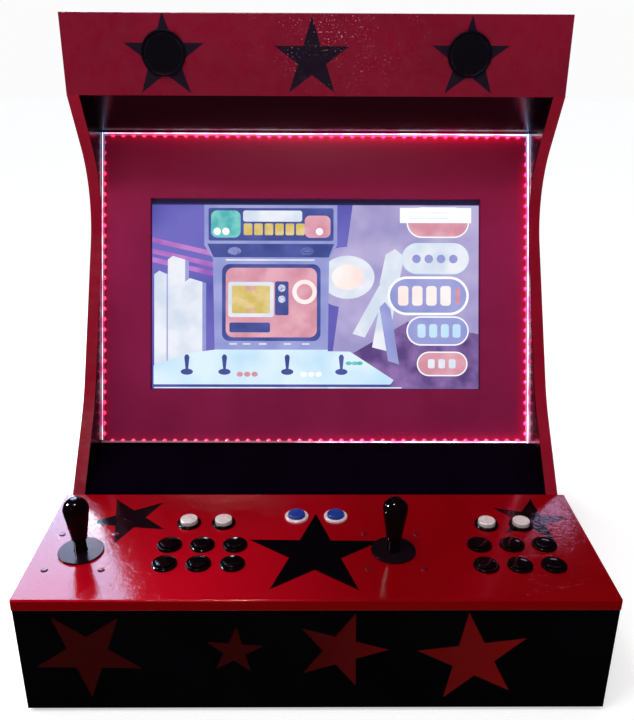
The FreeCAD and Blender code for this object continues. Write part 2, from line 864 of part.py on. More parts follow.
def microswitches():
    """One switch under each button, and four around the foot of each joystick."""
    upright = microswitch_pattern()
    solids = []
    press_room = 4.2
    gap = size("barrel_length") + press_room
    for spot in button_spots().values():
        solid = upright.Shape.copy()
        solid.translate(on_panel(spot) - FreeCAD.Vector(0, 0, gap))
        solids.append(solid)
    foot = size("pivot_drop") + 38
    clear_of_actuator = 14.6
    for spot in stick_spots().values():
        for quarter in range(4):
            solid = upright.Shape.copy()
            solid.rotate(FreeCAD.Vector(), FreeCAD.Vector(1, 0, 0), 90)
            solid.translate(FreeCAD.Vector(0, clear_of_actuator, 0))
            solid.rotate(FreeCAD.Vector(), FreeCAD.Vector(0, 0, 1), 90 * quarter)
            solid.translate(on_panel(spot) - FreeCAD.Vector(0, 0, foot))
            solids.append(solid)
    item = doc.addObject("Part::Feature", "microswitches")
    item.Shape = Part.makeCompound(solids)
    publish(item)


# ---------------------------------------------------------------- bezel, monitor and lights

def bezel():
    body = new_body("bezel_panel")
    face = new_sketch(body, "bezel_face", "XZ_Plane", "-bezel_board")
    rectangle(face, "board - body_width / 2", "body_width / 2 - board", "0", "bezel_length")
    rectangle(face, "-window_width / 2", "window_width / 2", "window_bottom",
              "window_bottom + window_height")
    pad(body, face, "bezel_board")
    lean_back(body)
    return publish(body)


def centred_rectangle(sketch, width, height):
    """A rectangle about the middle of the screen, in the bezel's frame."""
    rectangle(sketch, "-(%s) / 2" % width, "(%s) / 2" % width,
              "screen_middle - (%s) / 2" % height, "screen_middle + (%s) / 2" % height)


def monitor_frame():
    """The monitor's own front frame: a thin lip around the picture and a deeper wall."""
    body = new_body("monitor_frame")
    rear = "-(bezel_board + frame_depth)"
    outer = new_sketch(body, "frame_outer", "XZ_Plane", rear)
    centred_rectangle(outer, "frame_width", "frame_height")
    pad(body, outer, "frame_depth")
    hollow = new_sketch(body, "frame_hollow", "XZ_Plane", rear)
    centred_rectangle(hollow, "frame_width - 5", "frame_height - 5")
    pocket(body, hollow, "frame_depth - frame_lip", against_normal=False)
    window = new_sketch(body, "frame_window", "XZ_Plane", rear)
    centred_rectangle(window, "screen_width", "screen_height")
    pocket(body, window, "frame_depth", against_normal=False)
    lean_back(body)
    return publish(body)


def monitor_shell():
    """The monitor's rear cover, hollow and open towards the screen."""
    body = new_body("monitor_back_shell")
    front = "-(bezel_board + frame_depth)"
    rear = "-(bezel_board + frame_depth + shell_depth)"
    outer = new_sketch(body, "shell_outer", "XZ_Plane", rear)
    centred_rectangle(outer, "shell_width", "shell_height")
    pad(body, outer, "shell_depth")
    back_y = size("bezel_board + frame_depth + shell_depth")
    round_edges(body, "shell_edge_radius", edge_at(y=back_y))
    hollow = new_sketch(body, "shell_hollow", "XZ_Plane", front)
    centred_rectangle(hollow, "shell_width - 2 * shell_wall", "shell_height - 2 * shell_wall")
    pocket(body, hollow, "shell_depth - shell_wall")
    lean_back(body)
    return publish(body)


def monitor():
    bezel()
    monitor_frame()
    lip = "bezel_board + frame_lip"
    half_width, half_height = ("(screen_%s / 2 + display_border)" % word
                               for word in ("width", "height"))
    screen = block_between(
        "monitor_screen", ("-" + half_width, half_width), (lip, lip + " + screen_depth"),
        ("screen_middle - " + half_height, "screen_middle + " + half_height))
    leaning_group("monitor_screen_panel", [screen])
    monitor_shell()
    behind = "bezel_board + frame_depth + shell_depth"
    bars = []
    for way in ("-", "+"):
        middle = "screen_middle %s bar_spacing / 2" % way
        bars.append(block_between(
            "mount_bar_%d" % len(bars),
            ("board - body_width / 2", "body_width / 2 - board"), (behind, behind + " + bar_depth"),
            (middle + " - bar_height / 2", middle + " + bar_height / 2")))
    leaning_group("monitor_mount_bars", bars)


def leaning_group(name, items):
    """Pieces drawn in the bezel's frame, grouped and leaned back with it."""
    item = group(name, items)
    lean_back(item)
    return publish(item)


def light_strips():
    """Four lengths of silicone-covered light strip around the edge of the bezel."""
    inner = "(body_width / 2 - board)"
    depth = ("-strip_width", "0")
    top = ("bezel_length - strip_height", "bezel_length")
    along = ("strip_height - " + inner, inner + " - strip_height")
    full = ("0", "bezel_length")
    leaning_group("led_strip", [
        block_between("strip_left", ("-" + inner, "strip_height - " + inner), depth, full),
        block_between("strip_right", (inner + " - strip_height", inner), depth, full),
        block_between("strip_top", along, depth, top),
        block_between("strip_bottom", along, depth, ("0", "strip_height")),
    ])


def facing_front(name, pattern, y):
    """Two copies of a part turned about Z, laid to face forward at the speaker positions."""
    doc.recompute()
    solids = []
    for x in ("-speaker_x", "speaker_x"):
        solid = pattern.Shape.copy()
        solid.rotate(FreeCAD.Vector(), FreeCAD.Vector(1, 0, 0), 90)
        solid.translate(FreeCAD.Vector(size(x), size(y), size("speaker_z")))
        solids.append(solid)
    item = doc.addObject("Part::Feature", name)
    item.Shape = Part.makeCompound(solids)
    return publish(item)


def speakers():
    """A flat grille on the marquee's face and a driver behind it, on each side."""
    outer, height = size("grille_radius"), size("grille_height")
    grille = turned("grille_pattern", [
        (0, 0), (outer, 0), (outer, height - 1.4), (outer - 1.4, height, 0.3), (0, height)])
    facing_front("speaker_grilles", grille, "front_y + marquee_y")
    flange = size("speaker_radius")
    driver = turned("driver_pattern", [
        (0, -34), (20, -34), (20, -20), (24, -20), (flange - 4, -2), (flange, -2), (flange, 0),
        (26, 0), (10, -8), (0, -6),
    ])
    facing_front("speakers", driver, "front_y + marquee_y + marquee_board")


# ---------------------------------------------------------------- electronics and mains

def electronics():
    floor = "foot_height + board"
    case = block_between("computer_case", ("-60", "60"), ("back_y - 190", "back_y - 110"),
                         (floor, floor + " + computer_height"))
    tall = size("computer_height")
    publish(softened("computer_unit", case, 4,
                     lambda edge: abs(edge.BoundBox.ZLength - tall) < 0.01))
    supply = block_between("supply_case", ("-240", "-80"), ("back_y - 200", "back_y - 102"),
                           (floor, floor + " + supply_height"))
    slots = []
    for i in range(SUPPLY_SLOTS):
        x = "-230 + %d" % (16 * i)
        slots.append(block("supply_slot_%d" % i, ("8", "60", "3"),
                           (x, "back_y - 180", floor + " + supply_height - 2")))
    publish(less("power_supply", supply, slots))
    boards = []
    for player, x in (("one", -200), ("two", 200)):
        plate = block("encoder_plate_" + player, ("plate_width", "plate_depth", "1.6"),
                      ("%d - plate_width / 2" % x, "front_y + 90", floor + " + plate_rise"))
        pieces = [plate]
        for corner_x in (-38, 38):
            for corner_y in (97, 128):
                pieces.append(rod("standoff_%s_%d_%d" % (player, corner_x > 0, corner_y),
                                  "3", "plate_rise + 0.5",
                                  ("%d" % (x + corner_x), "front_y + %d" % corner_y, floor)))
        pieces.append(block("encoder_plugs_" + player, ("60", "8", "9"),
                            ("%d" % (x - 30), "front_y + 92", floor + " + plate_rise + 1")))
        boards.append(joined("encoder_board_" + player, pieces))
    publish(group("encoder_boards", boards))


def mains_inlet():
    """A flanged inlet for a mains lead, with a pocket for its rocker switch above."""
    face = "back_y + back_board"
    flange = block_between(
        "inlet_flange", ("inlet_x - lip_width / 2", "inlet_x + lip_width / 2"),
        (face, face + " + lip_depth"), ("inlet_z - lip_height / 2", "inlet_z + lip_height / 2"))
    can = block_between(
        "inlet_can", ("inlet_x - can_width / 2", "inlet_x + can_width / 2"),
        (face + " - can_depth", face), ("inlet_z - can_height / 2", "inlet_z + can_height / 2"))
    proud = face + " + lip_depth + 0.5"
    socket = block_between("inlet_socket", ("inlet_x - 12", "inlet_x + 12"),
                           (face + " - 16", proud), ("inlet_z - 26", "inlet_z - 9"))
    well = block_between("rocker_well", ("inlet_x - 7", "inlet_x + 7"),
                         (face + " - 14", proud), ("inlet_z + 2", "inlet_z + 24"))
    shell = less("inlet_shell", joined("inlet_solid", [flange, can]), [socket, well])
    pins = []
    for pin, (x, z) in enumerate((("-7", "-19"), ("7", "-19"), ("0", "-15"))):
        pins.append(block("inlet_pin_%d" % pin, ("2", "14", "4"),
                          ("inlet_x - 1 + " + x, face + " - 17", "inlet_z - 2 + " + z)))
    publish(joined("power_inlet", [shell] + pins))
    width, length, depth = size("rocker_width"), size("rocker_length"), 9
    rocker = Part.makeBox(width, depth, length,
                          FreeCAD.Vector(-width / 2, -depth / 2, -length / 2))
    rocker = rocker.common(Part.makeCylinder(
        size("rocker_radius"), width, FreeCAD.Vector(-width / 2, 0, 0), FreeCAD.Vector(1, 0, 0)))
    item = doc.addObject("Part::Feature", "rocker_switch")
    item.Shape = rocker
    pivot = FreeCAD.Vector(size("inlet_x"), size(face + " - rocker_sink"), size("inlet_z + 13"))
    tilt = FreeCAD.Rotation(FreeCAD.Vector(1, 0, 0), -size("rocker_tilt"))
    item.Placement = FreeCAD.Placement(pivot, tilt)
    publish(item)


def panel_screws():
    """Pan-head screws around the back panel."""
    pattern = turned("screw_pattern", [
        (0, -24), (1.7, -24), (1.7, 0), (4.2, 0), (4.2, 1.0), (3, 2.2, 0.3), (0, 2.2)])
    solids = []
    for x, z in screw_spots():
        solid = pattern.Shape.copy()
        solid.rotate(FreeCAD.Vector(), FreeCAD.Vector(1, 0, 0), -90)
        solid.translate(FreeCAD.Vector(size(x), size("back_y + back_board"), size(z)))
        solids.append(solid)
    item = doc.addObject("Part::Feature", "panel_screws")
    item.Shape = Part.makeCompound(solids)
    publish(item)


# ---------------------------------------------------------------- checks and export

def check_and_write():
    doc.recompute()
    for item in doc.Objects:
        if "Invalid" in item.State or "Error" in item.State:
            raise RuntimeError("%s did not build: %s" % (item.Name, item.State))
    for item in sub_parts:
        if item.Shape.isNull() or not item.Shape.isValid():
            raise RuntimeError(item.Label + " has no valid shape")
    os.makedirs("parts", exist_ok=True)
    for item in sub_parts:
        item.Shape.exportStep("parts/%s.step" % item.Label)


carcass()
control_box()
push_buttons()
joysticks()
microswitches()
monitor()
light_strips()
speakers()
electronics()
mains_inlet()
panel_screws()
check_and_write()
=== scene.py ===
import math
import random

import bmesh
import bpy
from mathutils import Matrix, Vector


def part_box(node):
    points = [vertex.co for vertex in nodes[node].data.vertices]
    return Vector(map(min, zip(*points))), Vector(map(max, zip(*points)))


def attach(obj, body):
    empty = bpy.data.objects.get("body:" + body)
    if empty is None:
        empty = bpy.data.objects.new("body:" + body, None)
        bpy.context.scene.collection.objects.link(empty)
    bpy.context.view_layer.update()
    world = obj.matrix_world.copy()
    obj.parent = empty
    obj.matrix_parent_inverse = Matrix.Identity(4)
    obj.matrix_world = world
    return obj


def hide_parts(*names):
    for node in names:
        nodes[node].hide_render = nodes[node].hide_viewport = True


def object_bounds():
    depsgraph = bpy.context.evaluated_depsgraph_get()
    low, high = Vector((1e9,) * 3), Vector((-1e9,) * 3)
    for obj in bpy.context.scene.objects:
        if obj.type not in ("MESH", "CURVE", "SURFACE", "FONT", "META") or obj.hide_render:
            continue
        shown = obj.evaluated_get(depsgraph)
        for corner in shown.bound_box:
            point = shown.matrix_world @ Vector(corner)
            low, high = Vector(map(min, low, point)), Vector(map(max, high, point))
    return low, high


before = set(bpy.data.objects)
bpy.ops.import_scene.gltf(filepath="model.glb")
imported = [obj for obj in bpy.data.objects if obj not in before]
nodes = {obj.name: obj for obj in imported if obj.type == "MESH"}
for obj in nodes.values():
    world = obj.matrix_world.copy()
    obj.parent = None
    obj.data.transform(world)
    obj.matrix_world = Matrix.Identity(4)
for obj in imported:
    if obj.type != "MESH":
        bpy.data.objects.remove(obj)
cad_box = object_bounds()
draw = random.Random(7)

MM = 0.001

# Lengths in metres, in the frame: +X right, +Y to the back, +Z up.
PANEL_LOW, PANEL_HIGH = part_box("control_panel_top")
PANEL_STAR_FLOOR = PANEL_HIGH.z - 0.0005
PANEL_EDGE_TOP = PANEL_HIGH.z - 0.002
PANEL_UNDERSIDE = PANEL_LOW.z + 0.00003
LEAN = math.radians(21.5)
UP_SLOPE = Vector((0, math.sin(LEAN), math.cos(LEAN)))
INTO_BEZEL = Vector((0, math.cos(LEAN), -math.sin(LEAN)))
BEZEL_LOW, BEZEL_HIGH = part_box("bezel_panel")
BEZEL_FOOT = Vector((0, BEZEL_LOW.y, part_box("led_strip")[0].z))
BEZEL_LENGTH = (BEZEL_HIGH.z - BEZEL_FOOT.z) / math.cos(LEAN)
INNER_X = BEZEL_HIGH.x
INNER_PAINT_X = INNER_X + 0.0006
SCREEN_THICK = 0.005
SCREEN_LOW, SCREEN_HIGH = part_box("monitor_screen_panel")
SCREEN_FROM_FOOT = (SCREEN_LOW + SCREEN_HIGH) / 2 - BEZEL_FOOT
SCREEN_UP = SCREEN_FROM_FOOT.dot(UP_SLOPE)
GLASS_DEPTH = SCREEN_FROM_FOOT.dot(INTO_BEZEL) - SCREEN_THICK / 2
GRILLE_RADIUS = 0.0315
GRILLE_LOW, GRILLE_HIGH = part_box("speaker_grilles")
GRILLE_X = GRILLE_HIGH.x - GRILLE_RADIUS
GRILLE_FACE_Y = GRILLE_HIGH.y
GRILLE_Z = (GRILLE_LOW.z + GRILLE_HIGH.z) / 2
BACK_LOW, BACK_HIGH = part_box("back_panel")
SCREW_INSET = 0.009
STRIP_LOW_Z, STRIP_HIGH_Z = 0.2095, 0.65

# Painted stars: across, along or up, radius, and the angle of one tip in degrees.
MARQUEE_STARS = ((-0.216, 0.780, 0.060, 90), (-0.007, 0.778, 0.056, 90),
                 (0.218, 0.779, 0.058, 90))
PANEL_STARS = ((-0.263, -0.125, 0.060, 119), (0.302, -0.126, 0.056, 3),
               (-0.002, -0.205, 0.094, 17))
FRONT_STARS = ((-0.284, 0.093, 0.069, 125), (-0.102, 0.097, 0.037, 85),
               (0.030, 0.098, 0.059, 73), (0.195, 0.085, 0.071, 98))
STAR_EDGE_BLUR = 0.0007


def on_bezel(x, up, depth=0.0):
    """The point at x, that far up the bezel's slope and that deep behind its face."""
    return BEZEL_FOOT + Vector((x, 0, 0)) + UP_SLOPE * up + INTO_BEZEL * depth


# ------------------------------------------------------------------ camera and light

CAMERA_PLACE = (-0.0096, -1.0723, 0.7938)
CAMERA_YAW, CAMERA_PITCH, CAMERA_ROLL = -0.578, 21.68, -0.305
CAMERA_LENS, CAMERA_SENSOR = 39.35, 36


def add_camera():
    """A camera that looks down at the front, at the angle of a person standing before it."""
    yaw, pitch, roll = (math.radians(a) for a in (CAMERA_YAW, CAMERA_PITCH, CAMERA_ROLL))
    turn = Matrix.Rotation(yaw, 3, "Z")
    ahead = turn @ Vector((0, math.cos(pitch), -math.sin(pitch)))
    right = turn @ Vector((1, 0, 0))
    down = ahead.cross(right)
    level = right * math.cos(roll) + down * math.sin(roll)
    under = down * math.cos(roll) - right * math.sin(roll)
    pose = Matrix((level, -under, -ahead)).transposed().to_4x4()
    pose.translation = CAMERA_PLACE
    data = bpy.data.cameras.new("camera")
    data.lens = CAMERA_LENS
    data.sensor_width = CAMERA_SENSOR
    camera = bpy.data.objects.new("camera", data)
    camera.matrix_world = pose
    bpy.context.scene.collection.objects.link(camera)
    bpy.context.scene.camera = camera


def add_area(name, place, aim, size, power, colour, sees, spread):
    """A rectangular lamp in watts, seen only by the named kinds of ray."""
    data = bpy.data.lights.new(name, "AREA")
    data.spread = math.radians(spread)
    data.shape = "RECTANGLE"
    data.size, data.size_y = size
    data.energy = power
    data.color = colour
    light = bpy.data.objects.new(name, data)
    light.location = place
    light.rotation_euler = (Vector(aim) - Vector(place)).to_track_quat("-Z", "Y").to_euler()
    light.visible_camera = False
    light.visible_diffuse = "diffuse" in sees
    light.visible_glossy = "glossy" in sees
    bpy.context.scene.collection.objects.link(light)


def add_world():
    """White behind the object, a soft grey fill on it, and a dark room in its reflections."""
    world = bpy.data.worlds.new("room")
    world.use_nodes = True
    tree = world.node_tree
    tree.nodes.clear()
    out = tree.nodes.new("ShaderNodeOutputWorld")
    path = tree.nodes.new("ShaderNodeLightPath")

    def glow(colour, strength):
        background = tree.nodes.new("ShaderNodeBackground")
        background.inputs["Color"].default_value = colour
        background.inputs["Strength"].default_value = strength
        return background

    fill = glow((0.92, 0.94, 1.0, 1), 0.25)
    dark = glow((0.8, 0.8, 1.0, 1), 0.03)
    white = glow((1, 1, 1, 1), 0.97)
    for way, first, second in (("Is Glossy Ray", fill, dark), ("Is Camera Ray", None, white)):
        blend = tree.nodes.new("ShaderNodeMixShader")
        tree.links.new(path.outputs[way], blend.inputs["Fac"])
        source = first.outputs[0] if first else last.outputs[0]
        tree.links.new(source, blend.inputs[1])
        tree.links.new(second.outputs[0], blend.inputs[2])
        last = blend
    tree.links.new(last.outputs[0], out.inputs["Surface"])
    bpy.context.scene.world = world


# ------------------------------------------------------------------ node helpers

# Socket numbers of the colour mix node.
MIX_SHARE, MIX_FIRST, MIX_SECOND, MIX_COLOUR = 0, 6, 7, 2


class Finish:
    """One material and short calls for the nodes that the finishes share."""

    def __init__(self, name, **values):
        self.material = bpy.data.materials.new(name)
        self.material.use_nodes = True
        self.tree = self.material.node_tree
        self.tree.nodes.clear()
        out = self.tree.nodes.new("ShaderNodeOutputMaterial")
        self.shader = self.tree.nodes.new("ShaderNodeBsdfPrincipled")
        self.tree.links.new(self.shader.outputs[0], out.inputs["Surface"])
        self.place = self.tree.nodes.new("ShaderNodeTexCoord").outputs["Object"]
        self.set(**values)

    def set(self, **values):
        """Uniform numbers and colours, straight on the shader's own sockets."""
        for name, value in values.items():
            socket = self.shader.inputs[name.replace("_", " ")]
            if isinstance(value, tuple) and len(value) == 3:
                value = value + (1,)
            socket.default_value = value

    def node(self, kind, inputs, **settings):
        item = self.tree.nodes.new(kind)
        for name, value in settings.items():
            setattr(item, name, value)
        for key, value in inputs.items():
            if isinstance(value, bpy.types.NodeSocket):
                self.tree.links.new(value, item.inputs[key])
            else:
                item.inputs[key].default_value = value
        return item

    def link(self, socket, name):
        self.tree.links.new(socket, self.shader.inputs[name])

    def math(self, kind, a, b=0.0, clamp=False):
        made = self.node("ShaderNodeMath", {0: a, 1: b}, operation=kind, use_clamp=clamp)
        return made.outputs[0]

    def axes(self):
        """The x, y and z of the point being shaded, in metres."""
        return self.node("ShaderNodeSeparateXYZ", {0: self.place}).outputs

    def noise(self, scale, detail=3.0, rough=0.5, stretch=None):
        where = self.place
        if stretch:
            where = self.node("ShaderNodeMapping", {"Vector": where, "Scale": stretch}).outputs[0]
        return self.node("ShaderNodeTexNoise", {
            "Vector": where, "Scale": scale, "Detail": detail, "Roughness": rough}).outputs[0]

    def cells(self, scale, stretch=None):
        where = self.place
        if stretch:
            where = self.node("ShaderNodeMapping", {"Vector": where, "Scale": stretch}).outputs[0]
        return self.node("ShaderNodeTexVoronoi", {"Vector": where, "Scale": scale}).outputs[0]

    def ramp(self, value, low, high, out_low=0.0, out_high=1.0):
        """out_low where value is low, out_high where it's high, and no further."""
        return self.node("ShaderNodeMapRange", {
            0: value, 1: low, 2: high, 3: out_low, 4: out_high}, clamp=True).outputs[0]

    def mix(self, share, first, second):
        first, second = (c + (1,) if isinstance(c, tuple) and len(c) == 3 else c
                         for c in (first, second))
        made = self.node("ShaderNodeMix", {MIX_SHARE: share, MIX_FIRST: first,
                                           MIX_SECOND: second}, data_type="RGBA")
        return made.outputs[MIX_COLOUR]

    def bump(self, *layers):
        """Relief from (height, depth in metres, strength) layers."""
        normal = None
        for height, depth, strength in layers:
            inputs = {"Height": height, "Distance": depth, "Strength": strength}
            if normal:
                inputs["Normal"] = normal
            normal = self.node("ShaderNodeBump", inputs).outputs[0]
        self.link(normal, "Normal")

    def stars(self, u, v, places):
        """1 inside any of the five-pointed stars given as (u, v, radius, angle of a tip)."""
        total = None
        for cu, cv, radius, tip in places:
            inside = self.node("ShaderNodeGroup", {}, node_tree=star_group())
            for key, value in enumerate((u, v, cu, cv, radius, math.radians(tip))):
                if isinstance(value, bpy.types.NodeSocket):
                    self.tree.links.new(value, inside.inputs[key])
                else:
                    inside.inputs[key].default_value = value
            mask = inside.outputs[0]
            total = mask if total is None else self.math("MAXIMUM", total, mask)
        return total


def star_group():
    """A node group that is 1 inside a regular five-pointed star and 0 outside it."""
    group = bpy.data.node_groups.get("star_shape")
    if group:
        return group
    group = bpy.data.node_groups.new("star_shape", "ShaderNodeTree")
    for name in ("U", "V", "Centre U", "Centre V", "Radius", "Tip"):
        group.interface.new_socket(name, in_out="INPUT", socket_type="NodeSocketFloat")
    group.interface.new_socket("Inside", in_out="OUTPUT", socket_type="NodeSocketFloat")
    start = group.nodes.new("NodeGroupInput").outputs

    def calc(kind, a, b=0.0, clamp=False):
        item = group.nodes.new("ShaderNodeMath")
        item.operation = kind
        item.use_clamp = clamp
        for key, value in ((0, a), (1, b)):
            if isinstance(value, bpy.types.NodeSocket):
                group.links.new(value, item.inputs[key])
            else:
                item.inputs[key].default_value = value
        return item.outputs[0]

    half_point = math.radians(36)
    steep = math.radians(72)
    du = calc("SUBTRACT", start["U"], start["Centre U"])
    dv = calc("SUBTRACT", start["V"], start["Centre V"])
    reach = calc("SQRT", calc("ADD", calc("MULTIPLY", du, du), calc("MULTIPLY", dv, dv)))
    angle = calc("SUBTRACT", calc("ARCTAN2", dv, du), start["Tip"])
    folded = calc("PINGPONG", angle, half_point)
    side = calc("MULTIPLY", reach, calc("COSINE", calc("SUBTRACT", folded, steep)))
    left = calc("SUBTRACT", calc("MULTIPLY", start["Radius"], math.cos(steep)), side)
    edge = calc("ADD", calc("DIVIDE", left, STAR_EDGE_BLUR), 0.5, clamp=True)
    out = group.nodes.new("NodeGroupOutput")
    group.links.new(edge, out.inputs[0])
    return group


# ------------------------------------------------------------------ finishes

# Linear red, green and blue.
RED = (0.30, 0.0045, 0.022)
DEEP_RED = (0.24, 0.0035, 0.016)
MARQUEE_RED = (0.235, 0.0035, 0.024)
MARQUEE_DEEP = (0.20, 0.003, 0.019)
MARQUEE_BLACK = (0.014, 0.006, 0.017)
# Pale specks of painted glint, light caught by the marquee's rough paint.
GLINT_SPECK = (0.80, 0.42, 0.46)
PANEL_RED = (0.25, 0.0004, 0.003)
PANEL_DEEP = (0.21, 0.0003, 0.002)
# The control panel's painted light, at its front left.
PANEL_LIT = (0.47, 0.0016, 0.011)
PANEL_EDGE = (0.15, 0.0003, 0.0012)
BARE_BOARD = (0.33, 0.21, 0.12)
BEZEL_RED = (0.32, 0.016, 0.085)
BEZEL_DEEP = (0.26, 0.012, 0.065)
BEZEL_WARM = (0.37, 0.014, 0.058)
# Painted light from the light strip, on the bezel under it.
BEZEL_STRIP_GLOW = (0.50, 0.085, 0.15)
# The front stars' one red, with painted shade at the left and painted light at the right.
FRONT_STAR_SHADED = (0.030, 0.0002, 0.0003)
FRONT_STAR_LIT = (0.135, 0.0003, 0.0006)
BLACK = (0.0016, 0.0010, 0.0018)
DEEP_BLACK = (0.001, 0.0006, 0.001)
INSIDE_BLACK = (0.003, 0.001, 0.003)
# Scale, detail and roughness of the noises that most finishes share.
DRIFT = (9, 3, 0.6)
PATCHES = (60, 4, 0.6)
WAVES = (38, 2, 0.5)
PEEL = (150, 3, 0.6)
# Depths of paint relief, in metres.
WAVE_DEPTH, PEEL_DEPTH, CREASE_DEPTH, RIPPLE_DEPTH = 0.0012, 0.0003, 0.0003, 0.0004


def gloss_paint(name, colour=RED, dark=DEEP_RED, rough=0.16, peel=0.35, level=0.22):
    """Brushed-on gloss paint: slow colour drift, uneven gloss, soft waves and orange peel."""
    f = Finish(name, Specular_IOR_Level=level)
    f.colour = f.mix(f.ramp(f.noise(*DRIFT), 0.35, 0.7), colour, dark)
    f.link(f.colour, "Base Color")
    f.link(f.ramp(f.noise(*PATCHES), 0.3, 0.7, rough * 0.75, rough * 1.35), "Roughness")
    waves, peel_height = f.noise(*WAVES), f.noise(*PEEL)
    f.bump((waves, WAVE_DEPTH, peel * 0.35), (peel_height, PEEL_DEPTH, peel * 1.2))
    return f


def marquee_paint():
    """Red with three black stars, and pale specks of painted glint round the middle one."""
    f = gloss_paint("marquee_paint", MARQUEE_RED, MARQUEE_DEEP, rough=0.3, peel=0.6, level=0.15)
    x, _, z = f.axes()
    stars = f.stars(x, z, MARQUEE_STARS)
    painted = f.mix(stars, f.colour, MARQUEE_BLACK)
    # Painted glints: pale specks round the middle star, where light catches the paint.
    glint_specks = f.ramp(f.noise(330, 3, 0.6), 0.60, 0.68)
    near_middle = f.ramp(f.math("ABSOLUTE", f.math("SUBTRACT", x, 0.03)), 0.14, 0.02)
    high_up = f.ramp(z, 0.74, 0.82, 0.25, 1.0)
    glint_patch = f.math("MULTIPLY", f.ramp(f.noise(24, 3, 0.6), 0.46, 0.62),
                   f.math("MULTIPLY", near_middle, high_up))
    f.link(f.mix(f.math("MULTIPLY", glint_specks, glint_patch), painted, GLINT_SPECK), "Base Color")
    return f.material


def panel_paint():
    """The control panel's creased gloss red, with painted light that makes it brighter at the
    front left, and black stars.

    The stars are on the top face only, the edges are darker, and the underside is bare board.
    """
    f = Finish("panel_paint", Specular_IOR_Level=0.10)
    x, y, z = f.axes()
    colour = f.mix(f.ramp(f.noise(*DRIFT), 0.35, 0.7), PANEL_RED, PANEL_DEEP)
    # Painted light: the front left of the panel is made brighter, where the light falls most.
    plain = f.math("MAXIMUM", f.ramp(x, -0.16, 0.07), f.ramp(y, -0.27, -0.09, 0, 0.75))
    colour = f.mix(plain, PANEL_LIT, colour)
    edge = f.math("LESS_THAN", z, PANEL_EDGE_TOP)
    colour = f.mix(edge, colour, PANEL_EDGE)
    stars = f.stars(x, y, PANEL_STARS)
    stars = f.math("MULTIPLY", stars, f.math("GREATER_THAN", z, PANEL_STAR_FLOOR))
    painted = f.mix(stars, colour, BLACK)
    under = f.math("LESS_THAN", z, PANEL_UNDERSIDE)
    f.link(f.mix(under, painted, BARE_BOARD), "Base Color")
    f.link(f.ramp(f.noise(*PATCHES), 0.3, 0.7, 0.085, 0.115), "Roughness")
    crease = f.math("ABSOLUTE", f.math("SUBTRACT", f.noise(30, 3, 0.55), 0.5))
    f.bump((f.noise(*WAVES), WAVE_DEPTH, 0.14), (f.ramp(crease, 0, 0.02), CREASE_DEPTH, 0.17),
           (f.noise(170, 3, 0.6), RIPPLE_DEPTH, 0.48))
    return f.material


def bezel_paint():
    """Purplish red, warmer near the top, and palest in the middle under the light strip, where the
    strip's light is painted on.
    """
    f = gloss_paint("bezel_paint", BEZEL_RED, BEZEL_DEEP, peel=0.4)
    x, _, z = f.axes()
    colour = f.mix(f.ramp(z, 0.50, 0.66), f.colour, BEZEL_WARM)
    # Painted light: the strip's glow, palest in the middle near the top.
    pale = f.math("MULTIPLY", f.ramp(z, 0.585, 0.66, 0, 0.6),
                  f.ramp(f.math("ABSOLUTE", x), 0.24, 0.02))
    f.link(f.mix(pale, colour, BEZEL_STRIP_GLOW), "Base Color")
    return f.material


def front_paint():
    """Black with four dark red stars, with painted light that brightens them to the right."""
    f = gloss_paint("front_paint", BLACK, DEEP_BLACK, rough=0.35, peel=0.4, level=0.03)
    x, _, z = f.axes()
    stars = f.stars(x, z, FRONT_STARS)
    # Painted light: the stars are lighter towards the right, where more light falls.
    painted_light_share = f.ramp(x, -0.05, 0.25)
    red = f.mix(painted_light_share, FRONT_STAR_SHADED, FRONT_STAR_LIT)
    f.link(f.mix(stars, f.colour, red), "Base Color")
    return f.material


def side_paint():
    """Red outside and along the edges, black on the faces that look inwards."""
    f = gloss_paint("side_paint", rough=0.2, level=0.12)
    x = f.axes()[0]
    inside = f.math("LESS_THAN", f.math("ABSOLUTE", x), INNER_PAINT_X)
    f.link(f.mix(inside, f.colour, INSIDE_BLACK), "Base Color")
    return f.material


def raw_board():
    """Unpainted fibreboard."""
    f = Finish("raw_board", Roughness=0.8, Specular_IOR_Level=0.2)
    fibres = f.noise(700, 4, 0.7, (1, 1, 3))
    f.link(f.mix(f.ramp(fibres, 0.3, 0.7), (0.40, 0.26, 0.15), (0.26, 0.16, 0.085)), "Base Color")
    f.bump((fibres, 0.0002, 0.3))
    return f.material


def plastic(name, colour, dark, rough=0.2, grain=0.0, level=0.5, tint=(1, 1, 1)):
    """Moulded plastic with faint scuffs; grain adds a textured surface."""
    f = Finish(name, Specular_IOR_Level=level, Specular_Tint=tint)
    wear = f.noise(220, 5, 0.65)
    f.link(f.mix(f.ramp(wear, 0.42, 0.75), colour, dark), "Base Color")
    f.link(f.ramp(f.noise(90, 4, 0.6), 0.3, 0.75, rough * 0.8, rough * 1.4), "Roughness")
    scuffs = f.noise(900, 2, 0.5, (1, 6, 1))
    layers = [(scuffs, 0.00004, 0.15)]
    if grain:
        layers.append((f.noise(2400, 2, 0.5), 0.0001, grain))
    f.bump(*layers)
    return f.material


def metal(name, colour, rough=0.35):
    """Drawn or rolled metal with fine streaks."""
    f = Finish(name, Metallic=1.0)
    streaks = f.noise(500, 3, 0.6, (1, 1, 8))
    dull = tuple(c * 0.65 for c in colour)
    f.link(f.mix(f.ramp(streaks, 0.35, 0.7), colour, dull), "Base Color")
    f.link(f.ramp(streaks, 0.3, 0.7, rough * 0.8, rough * 1.3), "Roughness")
    f.bump((streaks, 0.00005, 0.2))
    return f.material


